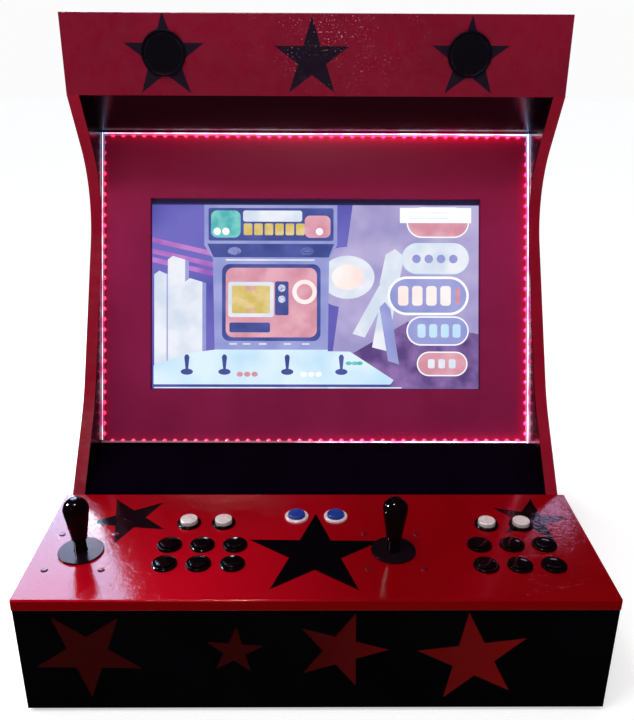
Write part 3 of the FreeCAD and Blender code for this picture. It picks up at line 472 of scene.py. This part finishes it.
def circuit_board():
    """Green board with lighter tracks."""
    f = Finish("circuit_board", Roughness=0.4)
    tracks = f.cells(260, (1, 4, 1))
    green = f.mix(f.ramp(tracks, 0.25, 0.32), (0.03, 0.30, 0.12), (0.006, 0.12, 0.04))
    f.link(green, "Base Color")
    f.bump((tracks, 0.0001, 0.2))
    return f.material


def rubber():
    """Dull black rubber with a fine grain."""
    f = Finish("rubber", Roughness=0.85, Specular_IOR_Level=0.25)
    f.link(f.mix(f.noise(400, 3), (0.012, 0.012, 0.012), (0.03, 0.03, 0.03)), "Base Color")
    f.bump((f.noise(1500, 2), 0.0002, 0.4))
    return f.material


def lit(name, low, high, strength, scale=14.0, base=(0.02, 0.02, 0.03)):
    """A part of a lit picture, drifting between two colours."""
    f = Finish(name, Roughness=0.12, Base_Color=base, Emission_Strength=strength)
    f.link(f.mix(f.ramp(f.noise(scale, 2), 0.35, 0.65), low, high), "Emission Color")
    return f.material


# ------------------------------------------------------------------ mesh helpers

def add_piece(name, mesh_source, materials, body, smooth=None):
    """A finished bmesh as a piece that rides on a body.

    smooth is the sharpest angle, in degrees, that is still shaded as round.
    """
    mesh = bpy.data.meshes.new(name)
    mesh_source.to_mesh(mesh)
    mesh_source.free()
    for material in materials:
        mesh.materials.append(material)
    piece = bpy.data.objects.new(name, mesh)
    bpy.context.scene.collection.objects.link(piece)
    if smooth:
        mesh.shade_smooth()
        mesh.set_sharp_from_angle(angle=math.radians(smooth))
    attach(piece, body)
    return piece


ON_AXIS = 1e-7


def lathe(mesh, profile, centre, heading, steps, slot=0):
    """Turn (radius, height) points about Y through centre. Ends on the axis close up.

    heading is 1 where the heights run towards +Y and -1 where they run towards -Y.
    """
    turn = Matrix.Rotation(math.radians(-90 * heading), 3, "X")
    rings = []
    for radius, height in profile:
        count = 1 if radius < ON_AXIS else steps
        ring = []
        for k in range(count):
            angle = 2 * math.pi * k / steps
            spot = Vector((radius * math.cos(angle), radius * math.sin(angle), height))
            ring.append(mesh.verts.new(turn @ spot + Vector(centre)))
        rings.append(ring)
    for first, second in zip(rings, rings[1:]):
        for k in range(steps):
            after = (k + 1) % steps
            corners = [first[k % len(first)], first[after % len(first)],
                       second[after % len(second)], second[k % len(second)]]
            unique = list(dict.fromkeys(corners))
            if len(unique) > 2:
                mesh.faces.new(unique).material_index = slot
    return rings


def rounded_profile(points, radius, steps):
    """The open profile with each inner corner rounded, by radius or as much as fits."""
    result = [points[0]]
    for before, corner, after in zip(points, points[1:], points[2:]):
        spot = Vector(corner)
        one, two = Vector(before) - spot, Vector(after) - spot
        reach = min(radius, one.length * 0.45, two.length * 0.45)
        start, end = spot + one.normalized() * reach, spot + two.normalized() * reach
        for k in range(steps + 1):
            t = k / steps
            result.append(tuple(start * (1 - t) ** 2 + spot * 2 * t * (1 - t) + end * t * t))
    result.append(points[-1])
    return result


EDGE_ROUND, EDGE_STEPS, EDGE_ANGLE = 0.0007, 2, 50


def soften(node):
    """Round a CAD node's sharp edges a little, as paint and sanding do."""
    bevel = nodes[node].modifiers.new("edge", "BEVEL")
    bevel.width = EDGE_ROUND
    bevel.segments = EDGE_STEPS
    bevel.limit_method = "ANGLE"
    bevel.angle_limit = math.radians(EDGE_ANGLE)
    bevel.harden_normals = False


def paint_node(node, material):
    """Put one material on all of a CAD node."""
    slots = nodes[node].material_slots
    if not slots:
        nodes[node].data.materials.append(material)
    for item in slots:
        item.link = "OBJECT"
        item.material = material


# ------------------------------------------------------------------ the parts

add_camera()
add_world()
bpy.context.scene.view_settings.view_transform = "Standard"

SIDE = side_paint()
BEZEL_PAINT = bezel_paint()
SOFFIT_PAINT = gloss_paint("black_paint", BLACK, DEEP_BLACK, rough=0.2, level=0.3).material
# The deck's faint purple tint is a painted reflection on its black.
DECK_PAINT = gloss_paint("deck_paint", (0.003, 0.0008, 0.005), (0.002, 0.0005, 0.003),
                         level=0.0).material
BACK_PAINT = gloss_paint("back_paint", (0.020, 0.018, 0.020), (0.017, 0.0155, 0.017), rough=0.62,
                         peel=0.15, level=0.05).material
BOX_PAINT = gloss_paint("box_paint", (0.004, 0.003, 0.004), (0.003, 0.0023, 0.003), rough=0.4,
                        peel=0.3, level=0.06).material
TOP_PAINT = gloss_paint("top_paint", rough=0.45, level=0.02).material
RAW = raw_board()
BLACK_PLASTIC = plastic("black_plastic", (0.003, 0.0010, 0.0015), (0.005, 0.0018, 0.0025), 0.07,
                        level=0.065)
DULL_PLASTIC = plastic("dull_plastic", (0.02, 0.02, 0.022), (0.012, 0.012, 0.014), 0.5, 0.4)
FRAME_PLASTIC = plastic("frame_plastic", (0.045, 0.036, 0.13), (0.034, 0.028, 0.10), 0.35,
                        level=0.1)
WASHER_PLASTIC = plastic("washer_plastic", (0.006, 0.003, 0.005), (0.010, 0.005, 0.008), 0.2,
                         level=0.045, tint=(1.0, 0.20, 0.30))
WHITE_PLASTIC = plastic("white_plastic", (0.78, 0.66, 0.65), (0.55, 0.42, 0.40), 0.3)
BLUE_PLASTIC = plastic("blue_plastic", (0.012, 0.045, 0.30), (0.009, 0.034, 0.22), 0.2,
                       level=0.2)
PALE_RIM = plastic("pale_rim", (0.80, 0.62, 0.66), (0.62, 0.44, 0.50), 0.25)
INLET_PLASTIC = plastic("inlet_plastic", (0.034, 0.034, 0.037), (0.026, 0.026, 0.028), 0.35, 0.2,
                        level=0.3)
ROCKER_PLASTIC = plastic("rocker_plastic", (0.36, 0.010, 0.010), (0.28, 0.008, 0.008), 0.2,
                         level=0.4)
STEEL = metal("steel", (0.55, 0.56, 0.58))
CASE_METAL = metal("case_metal", (0.30, 0.30, 0.32), 0.45)
BOARD_GREEN = circuit_board()
RUBBER = rubber()

finishes = {
    "side_panel_left": SIDE, "side_panel_right": SIDE, "top_panel": TOP_PAINT,
    "marquee_panel": marquee_paint(), "bezel_panel": BEZEL_PAINT,
    "control_panel_top": panel_paint(), "control_front_panel": front_paint(),
    "control_box_sides": BOX_PAINT, "marquee_soffit": SOFFIT_PAINT, "rear_deck": DECK_PAINT,
    "back_panel": BACK_PAINT, "base_panel": RAW, "monitor_mount_bars": RAW,
    "monitor_frame": FRAME_PLASTIC, "monitor_back_shell": DULL_PLASTIC,
    "monitor_screen_panel": plastic("screen_glass", (0.01, 0.01, 0.02), (0.015, 0.015, 0.03), 0.1),
    "speakers": DULL_PLASTIC, "computer_unit": DULL_PLASTIC, "power_supply": CASE_METAL,
    "encoder_boards": BOARD_GREEN, "power_inlet": INLET_PLASTIC, "rocker_switch": ROCKER_PLASTIC,
    "rubber_feet": RUBBER, "panel_screws": STEEL,
    # The bolt heads wear the panel's red, darkened as painted shade.
    "joystick_fasteners": gloss_paint("shaded_bolt_paint", (0.16, 0.001, 0.006), (0.10, 0.001, 0.004),
                                      rough=0.12, level=0.12).material,
    "joystick_bases": DULL_PLASTIC, "microswitches": DULL_PLASTIC,
    "button_housings_play": BLACK_PLASTIC, "button_housings_start": PALE_RIM,
    "button_nuts": DULL_PLASTIC,
}
for node in nodes:
    material = finishes.get(node, BLACK_PLASTIC)
    if "option_button" in node:
        material = WHITE_PLASTIC
    if node.startswith("start_button"):
        material = BLUE_PLASTIC
    if node.endswith("washer"):
        material = WASHER_PLASTIC
    if node.endswith("gimbal"):
        material = DULL_PLASTIC
    paint_node(node, material)
for node in ("side_panel_left", "side_panel_right", "top_panel", "marquee_panel", "bezel_panel",
             "control_front_panel", "control_box_sides", "back_panel", "base_panel",
             "computer_unit", "power_supply", "power_inlet", "rocker_switch", "rubber_feet",
             "control_panel_top"):
    soften(node)


# ------------------------------------------------------------------ light strip

CORNER_X = 0.333
LONG_EDGE = 0.1
SLEEVE, LAMP, EDGE = range(3)


def strip_light(name, colours, dim, bright, corner_colour, corner_strength, low_share):
    """Lit silicone: weaker at the left and low left, stronger along the top, cool corners."""
    f = Finish(name, Roughness=0.35, Base_Color=(0.5, 0.2, 0.3))
    x, _, z = f.axes()
    drift = f.ramp(f.noise(42, 3), 0.40, 0.62)
    corner = f.math("MULTIPLY", f.ramp(z, 0.60, 0.64),
                    f.math("GREATER_THAN", f.math("ABSOLUTE", x), CORNER_X))
    f.link(f.mix(corner, f.mix(drift, *colours), corner_colour), "Emission Color")
    strength = f.ramp(x, -0.34, 0.34, dim, bright)
    low_left = f.math("MULTIPLY", f.math("LESS_THAN", z, STRIP_LOW_Z), f.ramp(x, 0.10, -0.05))
    strength = f.math("MULTIPLY", strength, f.ramp(low_left, 0, 1, 1, low_share))
    high = f.math("MULTIPLY", f.ramp(z, STRIP_HIGH_Z, STRIP_HIGH_Z + 0.005),
                  f.ramp(f.math("ABSOLUTE", x), 0.30, 0.22))
    strength = f.math("MULTIPLY", strength, f.ramp(high, 0, 1, 1, 1.6))
    f.link(f.math("MULTIPLY", strength, f.ramp(corner, 0, 1, 1, corner_strength)),
           "Emission Strength")
    return f.material


def light_strip():
    """A glowing sleeve round the bezel, with a domed lamp every 16.7 mm along its inner face."""
    sleeve = strip_light("strip_sleeve", ((1.0, 0.03, 0.15), (1.0, 0.14, 0.32)), dim=0.2,
                         bright=0.7, corner_colour=(0.45, 0.50, 1.0), corner_strength=1.0,
                         low_share=0.15)
    edge = strip_light("strip_edge", ((1.0, 0.20, 0.45), (1.0, 0.80, 0.95)), dim=2.4,
                       bright=6.5, corner_colour=(0.60, 0.60, 1.0), corner_strength=1.0,
                       low_share=0.02)
    lamp = strip_light("strip_lamp", ((1.0, 0.006, 0.07), (1.0, 0.014, 0.13)), dim=1.9,
                       bright=6.0, corner_colour=(0.8, 0.05, 0.3), corner_strength=0.15,
                       low_share=0.6)
    mesh = bmesh.new()

    def bar(centre, along, half_along, inward, half_in, half_deep):
        verts = []
        for a in (-1, 1):
            for b in (-1, 1):
                for c in (-1, 1):
                    verts.append(mesh.verts.new(
                        centre + along * half_along * a + inward * half_in * b
                        + INTO_BEZEL * half_deep * c))
        for quad in ((0, 1, 3, 2), (4, 6, 7, 5), (0, 4, 5, 1), (2, 3, 7, 6), (0, 2, 6, 4),
                     (1, 5, 7, 3)):
            face = mesh.faces.new([verts[k] for k in quad])
            to_front = (face.calc_center_median() - centre).dot(-INTO_BEZEL)
            face.material_index = EDGE if to_front > half_deep * 0.9 else SLEEVE
        long_edges = dict.fromkeys(
            e for v in verts for e in v.link_edges if e.calc_length() > LONG_EDGE)
        bmesh.ops.bevel(mesh, geom=list(long_edges), offset=0.0006, segments=3, affect="EDGES")

    def dome(centre, along, inward):
        size = Matrix((inward * 0.0030, along * 0.0034, INTO_BEZEL * 0.0034)).transposed()
        made = bmesh.ops.create_uvsphere(mesh, u_segments=12, v_segments=8, radius=1,
                                         matrix=Matrix.Translation(centre) @ size.to_4x4())
        for face in {f for v in made["verts"] for f in v.link_faces}:
            face.material_index = LAMP

    side = Vector((1, 0, 0))
    half = BEZEL_LENGTH / 2
    thin, deep, pitch = 0.0015, 0.005, 0.0167
    gap, lamp_sink = 0.0002, 0.0012
    runs = (
        (on_bezel(-INNER_X + thin, half, -deep), UP_SLOPE, half, side),
        (on_bezel(INNER_X - thin, half, -deep), UP_SLOPE, half, -side),
        (on_bezel(0, BEZEL_LENGTH - thin, -deep), side, INNER_X - 2 * thin, -UP_SLOPE),
        (on_bezel(0, thin, -deep), side, INNER_X - 2 * thin, UP_SLOPE),
    )
    for centre, along, length, inward in runs:
        bar(centre, along, length - gap, inward, thin - 0.0003, deep - 0.0001)
        count = int(2 * length / pitch)
        for k in range(count):
            spot = centre + along * (k + 0.5 - count / 2) * pitch + inward * thin
            dome(spot + INTO_BEZEL * lamp_sink, along, inward)
    bmesh.ops.recalc_face_normals(mesh, faces=mesh.faces)
    strip = add_piece("light_strip", mesh, [sleeve, lamp, edge], "cabinet", 40)
    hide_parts("led_strip")


# ------------------------------------------------------------------ grilles and screws

def speaker_grilles():
    """Two round covers: a rolled rim, a perforated sheet and a dark disc behind it."""
    mesh = bmesh.new()
    outer, rim_rise, sheet_rise, hole_foot = GRILLE_RADIUS, 0.0029, 0.0019, 0.0010
    # a honeycomb: cell is the distance from a six-sided hole's middle to its corners
    pitch, web = 0.0026, 0.00042
    row_pitch, cell = pitch * 0.866, pitch * 0.5774
    for side in (-1, 1):
        middle = Vector((side * GRILLE_X, GRILLE_FACE_Y, GRILLE_Z))
        rim = rounded_profile([(outer - 0.0042, 0.0002), (outer - 0.0001, 0.0002),
                               (outer - 0.0001, rim_rise), (outer - 0.0030, rim_rise),
                               (outer - 0.0042, 0.0014), (outer - 0.0042, 0.0002)], 0.0012, 5)
        lathe(mesh, rim, middle, -1, 96)
        lathe(mesh, [(0, 0.0004), (outer - 0.004, 0.0004)], middle, -1, 48, 1)
        reach = outer - 0.0038
        rows = int(reach / row_pitch) + 1
        for row in range(-rows, rows + 1):
            for column in range(-rows - 1, rows + 2):
                u = (column + 0.5 * (row % 2)) * pitch
                v = row * row_pitch
                if math.hypot(u, v) > reach - 0.0006:
                    continue
                rings = []
                for radius, rise in ((cell, sheet_rise), (cell - web, sheet_rise),
                                     (cell - web - 0.0001, hole_foot)):
                    ring = []
                    for k in range(6):
                        angle = math.radians(30 + 60 * k)
                        ring.append(mesh.verts.new(middle + Vector((
                            u + radius * math.cos(angle), -rise, v + radius * math.sin(angle)))))
                    rings.append(ring)
                for first, second in zip(rings, rings[1:]):
                    for k in range(6):
                        after = (k + 1) % 6
                        mesh.faces.new([first[k], first[after], second[after], second[k]])
    bmesh.ops.remove_doubles(mesh, verts=mesh.verts, dist=0.00002)
    bmesh.ops.recalc_face_normals(mesh, faces=mesh.faces)
    cover = plastic("grille_paint", (0.0035, 0.0012, 0.0065), (0.006, 0.002, 0.010), 0.45,
                    level=0.04)
    piece = add_piece("speaker_grille_mesh", mesh, [cover, RUBBER], "cabinet", 35)
    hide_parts("speaker_grilles")


def back_screws():
    """The back board's pan-head screws with cross recesses, turned by chance amounts."""
    mesh = bmesh.new()
    places = []
    low, high = BACK_LOW.z + SCREW_INSET, BACK_HIGH.z - SCREW_INSET
    edge_x = BACK_HIGH.x - SCREW_INSET
    shank, head, shank_end, seat, brim, crown = 0.0016, 0.0041, -0.020, 0.00002, 0.0012, 0.0027
    for side in (-1, 1):
        places += [(side * edge_x, low + (high - low) * i / 4) for i in range(5)]
        places += [(side * edge_x / 2, z) for z in (low, high)]
    arm, half_slot, top, recess = 0.0021, 0.00042, 0.0021, 0.0010
    outline = rounded_profile([(0, shank_end), (shank, shank_end), (shank, seat), (head, seat),
                               (head, brim), (crown, top)], 0.0008, 4)
    for x, z in places:
        turn = Matrix.Rotation(draw.uniform(0, math.pi), 3, "Y")
        middle = Vector((x, BACK_HIGH.y, z))
        rings = lathe(mesh, outline, middle, 1, 36)
        corners = []
        for k in range(4):
            quarter = Matrix.Rotation(math.radians(90 * k), 3, "Y")
            for u, v in ((arm, -half_slot), (arm, half_slot), (half_slot, half_slot)):
                corners.append(turn @ quarter @ Vector((u, 0, v)))
        upper = [mesh.verts.new(middle + c + Vector((0, top, 0))) for c in corners]
        lower = [mesh.verts.new(middle + c * 0.8 + Vector((0, top - recess, 0))) for c in corners]
        loops = []
        for ring in (rings[-1], upper):
            for a, b in zip(ring, ring[1:] + ring[:1]):
                loops.append(mesh.edges.get((a, b)) or mesh.edges.new((a, b)))
        bmesh.ops.triangle_fill(mesh, edges=loops, use_beauty=True)
        for k in range(len(upper)):
            after = (k + 1) % len(upper)
            mesh.faces.new([upper[k], upper[after], lower[after], lower[k]])
        mesh.faces.new(lower)
    bmesh.ops.recalc_face_normals(mesh, faces=mesh.faces)
    piece = add_piece("panel_screw_heads", mesh, [STEEL], "cabinet", 35)
    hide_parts("panel_screws")


# ------------------------------------------------------------------ picture on the screen

def rounded_box(low_x, high_x, low_y, high_y, radius=0.0, steps=6):
    """Corner points of a rectangle with round corners, counter-clockwise."""
    if radius == 0:
        return [(low_x, low_y), (high_x, low_y), (high_x, high_y), (low_x, high_y)]
    points = []
    for quarter, (x, y) in enumerate(((high_x - radius, low_y + radius),
                                      (high_x - radius, high_y - radius),
                                      (low_x + radius, high_y - radius),
                                      (low_x + radius, low_y + radius))):
        for k in range(steps + 1):
            angle = math.radians(90 * (quarter - 1 + k / steps))
            points.append((x + radius * math.cos(angle), y + radius * math.sin(angle)))
    return points


def disc(x, y, radius, steps=20, squash=1.0):
    """Corner points of a round, or of an oval where squash isn't 1."""
    return [(x + radius * math.cos(2 * math.pi * k / steps),
             y + squash * radius * math.sin(2 * math.pi * k / steps)) for k in range(steps)]


PICTURE_LAYER = 0.00002


def screen_picture():
    """A made-up game menu in plain shapes, in millimetres from the middle of the screen.

    The gloss paints don't mirror it.
    """
    colours = [
        lit("picture_sky", (0.07, 0.07, 0.38), (0.16, 0.14, 0.52), 1.0, 9),
        lit("picture_violet", (0.30, 0.08, 0.45), (0.55, 0.22, 0.62), 1.0, 20),
        lit("picture_pale", (0.66, 0.74, 0.86), (0.86, 0.88, 0.95), 1.0, 26),
        lit("picture_body", (0.26, 0.29, 0.62), (0.36, 0.38, 0.72), 1.0, 20),
        lit("picture_navy", (0.04, 0.06, 0.25), (0.08, 0.10, 0.36), 1.0, 24),
        lit("picture_deck", (0.52, 0.76, 0.95), (0.74, 0.90, 1.0), 1.0, 12),
        lit("picture_rose", (0.66, 0.28, 0.36), (0.80, 0.42, 0.50), 1.0, 30),
        lit("picture_gold", (0.66, 0.50, 0.12), (0.80, 0.62, 0.28), 1.0, 60),
        lit("picture_white", (0.90, 0.94, 1.0), (1.0, 1.0, 1.0), 1.05, 20),
        lit("picture_glow", (1.0, 0.78, 0.72), (1.0, 0.92, 0.90), 1.0, 20),
        lit("picture_teal", (0.08, 0.45, 0.45), (0.20, 0.62, 0.58), 1.0, 60),
        lit("picture_mauve", (0.34, 0.30, 0.58), (0.50, 0.44, 0.70), 1.0, 16),
        lit("picture_plum", (0.10, 0.05, 0.20), (0.28, 0.16, 0.42), 1.0, 30),
    ]
    (SKY, VIOLET, PALE, BODY, NAVY, DECK, ROSE, GOLD, WHITE, GLOW, TEAL, MAUVE,
     PLUM) = range(len(colours))
    mesh = bmesh.new()
    level = 0

    def shape(slot, points, step=1):
        """One flat shape, laid on top of the ones before it."""
        nonlocal level
        level += step
        depth = GLASS_DEPTH - PICTURE_LAYER * (level + 1)
        rings = [[mesh.verts.new(on_bezel(x * MM, SCREEN_UP + y * MM, d)) for x, y in points]
                 for d in (GLASS_DEPTH, depth)]
        faces = [mesh.faces.new(rings[1]), mesh.faces.new(list(reversed(rings[0])))]
        for k in range(len(points)):
            after = (k + 1) % len(points)
            faces.append(mesh.faces.new([rings[0][k], rings[0][after], rings[1][after],
                                         rings[1][k]]))
        for face in faces:
            face.material_index = slot

    def row(slot, points_at, spots):
        """The same shape at several spots, all on one layer."""
        nonlocal level
        for spot in spots:
            shape(slot, points_at(spot), 0)
        level += 1

    shape(SKY, rounded_box(-265.5, 265.5, -149.3, 149.3))
    shape(MAUVE, [(20, -149.2), (265.4, -149.2), (265.4, 149.2), (60, 149.2)])
    shape(PLUM, [(30, -149.1), (265.3, -149.1), (265.3, -60), (150, -40), (60, -92)])
    for y in (96, 78, 64):
        shape(VIOLET, [(-265, y), (-150, y - 26), (-150, y - 34), (-265, y - 8)])
    for radius, slot in ((62, MAUVE), (44, PALE), (26, GLOW)):
        shape(slot, disc(52, 32, radius, 32, 0.8))
    # tall pale blocks at the left and slanted ones at the right
    for low, high, foot, top in ((-262, -236, -120, 42), (-240, -206, -104, 66),
                                 (-212, -178, -100, 30)):
        shape(PALE, [(low, foot), (high, foot), (high, top - 8), (low + 8, top), (low, top - 6)])
        shape(BODY, [(high - 6, foot), (high, foot), (high, top - 8), (high - 6, top - 6)])
    slanted = ((60, -60, 46, 92, 20, PALE), (92, -82, 20, 120, 24, PALE),
               (118, -104, -14, 96, 18, BODY), (104, 22, 10, 56, 30, PALE))
    for x, y, lean_x, tall, wide, slot in slanted:
        shape(slot, [(x, y), (x + wide, y - 6), (x + wide + lean_x, y + tall - 12),
                     (x + wide * 0.5 + lean_x, y + tall), (x + lean_x, y + tall - 9)])
    # the cabinet in the picture
    shape(DECK, [(-263, -146), (122, -146), (127, -135), (56, -89), (-163, -86), (-206, -92),
                 (-263, -112)])
    shape(NAVY, [(-263, -146.5), (122, -146.5), (127, -136), (122, -142.5), (-263, -142.5)])
    shape(BODY, [(-164, -86), (20, -86), (22, 62), (35, 84), (35, 149), (-181, 149), (-181, 84),
                 (-167, 62)])
    shape(DECK, [(-160, -140), (16, -140), (20, -86), (-164, -86)])
    shape(NAVY, rounded_box(-174, 29, 91, 144, 3))
    shape(TEAL, rounded_box(-170, -122, 96, 140, 10))
    shape(ROSE, rounded_box(-18, 24, 96, 132, 9))
    shape(PALE, rounded_box(-118, -22, 122, 140, 4))
    row(GOLD, lambda x: rounded_box(x - 7, x + 7, 100, 119, 2.5), range(-110, -20, 17))
    row(WHITE, lambda x: disc(x, 106, 6), (-160, -146, 6))
    shape(NAVY, [(-166, 64), (21, 64), (30, 86), (-176, 86)])
    row(BODY, lambda x: disc(x, 74, 11, 20, 0.6), (-132, -14))
    shape(PALE, rounded_box(-146, -2, 58.5, 61))
    shape(NAVY, rounded_box(-152, 8, -72, 53, 12))
    shape(ROSE, rounded_box(-146, 2, -66, 47, 12))
    shape(PALE, rounded_box(-142, -68, -33, 24, 4))
    shape(GOLD, rounded_box(-136, -74, -27, 18, 3))
    row(ROSE, lambda y: rounded_box(-114, -96, y, y + 8), (-27, 10))
    shape(NAVY, rounded_box(-66, -44, -30, 25, 3))
    row(PALE, lambda y: disc(-55, y, 6), (14, -4))
    shape(GLOW, disc(-18, 8, 20))
    shape(ROSE, disc(-18, 8, 13))
    shape(NAVY, rounded_box(-140, -74, -58, -42, 3))
    row(PALE, lambda x: rounded_box(x, x + 12, -78, -75.5), (-140, -118, -92, -52, -22))
    for x in (-209, -148, -46, 42):
        shape(NAVY, disc(x, -122, 10, 20, 0.5))
        shape(NAVY, [(x - 1.6, -122), (x + 1.6, -122), (x + 4.2, -98), (x + 2, -94), (x - 2, -94),
                     (x - 4.2, -98)])
    row(ROSE, lambda x: disc(x, -126, 5.2, 16, 0.8), (-123, -111, -99))
    row(WHITE, lambda x: disc(x, -126, 5.2, 16, 0.8), (-19, -7, 5))
    row(TEAL, lambda x: disc(x, -108, 5.2, 16, 0.6), (54, 64, 72))
    # the menu down the right-hand side
    menu = ((148, 249.5, 96.4, 146, 2, ROSE), (140, 249.5, 37.3, 88, 1.5, PALE),
            (117, 249.5, -29.5, 33.5, 4, BODY), (148, 249.5, -79, -31.4, 2.2, BODY),
            (165, 247.6, -128.8, -88.7, 2, ROSE))
    for low, high, foot, top, rim, slot in menu:
        round_end = (top - foot) / 2
        shape(WHITE if rim > 1.6 else DECK, rounded_box(low, high, foot, top, round_end, 10))
        shape(slot, rounded_box(low + rim, high - rim, foot + rim, top - rim, round_end - rim, 10))
    row(GLOW, lambda x: rounded_box(x, x + 17, -14, 18, 5), (134, 157, 180, 203))
    shape(ROSE, rounded_box(228, 235, -12, 16, 3))
    row(BODY, lambda x: disc(x, 62, 7), (164, 184, 204, 224))
    row(DECK, lambda x: rounded_box(x, x + 13, -66, -44, 4), (166, 185, 204, 223))
    row(PALE, lambda x: rounded_box(x, x + 11, -116, -101, 3), (183, 200, 217))
    shape(WHITE, rounded_box(137, 253, 120.5, 145))
    row(PALE, lambda y: rounded_box(152, 216, y, y + 1.6), (127, 136))
    shape(PALE, rounded_box(-262, 140, -148.8, -146.9))
    bmesh.ops.recalc_face_normals(mesh, faces=mesh.faces)
    picture = add_piece("screen_picture", mesh, colours, "cabinet")
    picture.visible_glossy = False


light_strip()
speaker_grilles()
back_screws()
screen_picture()

# ------------------------------------------------------------------ floor and lamps

FLOOR_HALF = 12
SKY_STRENGTH, SKY_BLUR, SKY_TURN = 1.25, 70, (14, -12, 0)
floor_mesh = bmesh.new()
bmesh.ops.create_grid(floor_mesh, x_segments=1, y_segments=1, size=FLOOR_HALF)
floor_data = bpy.data.meshes.new("floor")
floor_mesh.to_mesh(floor_data)
floor_mesh.free()
floor = bpy.data.objects.new("floor", floor_data)
floor.location.z = cad_box[0][2]
floor.visible_glossy = False
bpy.context.scene.collection.objects.link(floor)
floor_paint = Finish("floor_paint", Base_Color=(0.82, 0.82, 0.82), Roughness=0.9,
                     Specular_IOR_Level=0.1, Emission_Color=(1, 1, 1), Emission_Strength=0.5)
floor_data.materials.append(floor_paint.material)

sky = bpy.data.lights.new("sky", "SUN")
sky.energy = SKY_STRENGTH
sky.angle = math.radians(SKY_BLUR)
overhead = bpy.data.objects.new("sky", sky)
overhead.rotation_euler = [math.radians(a) for a in SKY_TURN]
overhead.visible_glossy = False
bpy.context.scene.collection.objects.link(overhead)
BOTH, GLOSSY, DIFFUSE = ("diffuse", "glossy"), ("glossy",), ("diffuse",)
# name, place, aim, size, watts, colour, rays that see it, spread in degrees
LAMPS = (
    ("key", (-0.6, -0.9, 2.4), (0, -0.1, 0.3), (0.4, 0.3), 9, (1.0, 0.97, 0.95), BOTH, 180),
    ("glint", (-1.25, -0.1, 0.8), (-0.2, -0.2, 0.18), (0.12, 0.12), 8, (1, 1, 1), GLOSSY, 40),
    ("spark", (-0.35, -0.75, 2.2), (0.1, -0.15, 0.18), (0.10, 0.10), 10, (1, 1, 1), GLOSSY, 60),
    ("window", (-0.85, 1.2, 1.2), (-0.3, -0.1, 0.3), (0.9, 1.3), 110, (0.46, 0.66, 1.0), GLOSSY,
     180),
    ("bright_pane", (-0.71, 1.10, 0.93), (-0.33, -0.08, 0.18), (0.07, 0.12), 1.5,
     (1.0, 0.88, 0.72), GLOSSY, 180),
    ("right_pane", (0.765, 1.09, 0.918), (0.35, -0.08, 0.18), (0.14, 0.08), 0.5,
     (0.80, 0.55, 1.0), GLOSSY, 180),
    ("left_fill", (-0.85, 1.0, 1.1), (-0.3, -0.1, 0.3), (0.7, 0.9), 15, (1.0, 0.9, 0.9), DIFFUSE,
     180),
)
for lamp in LAMPS:
    add_area(*lamp)
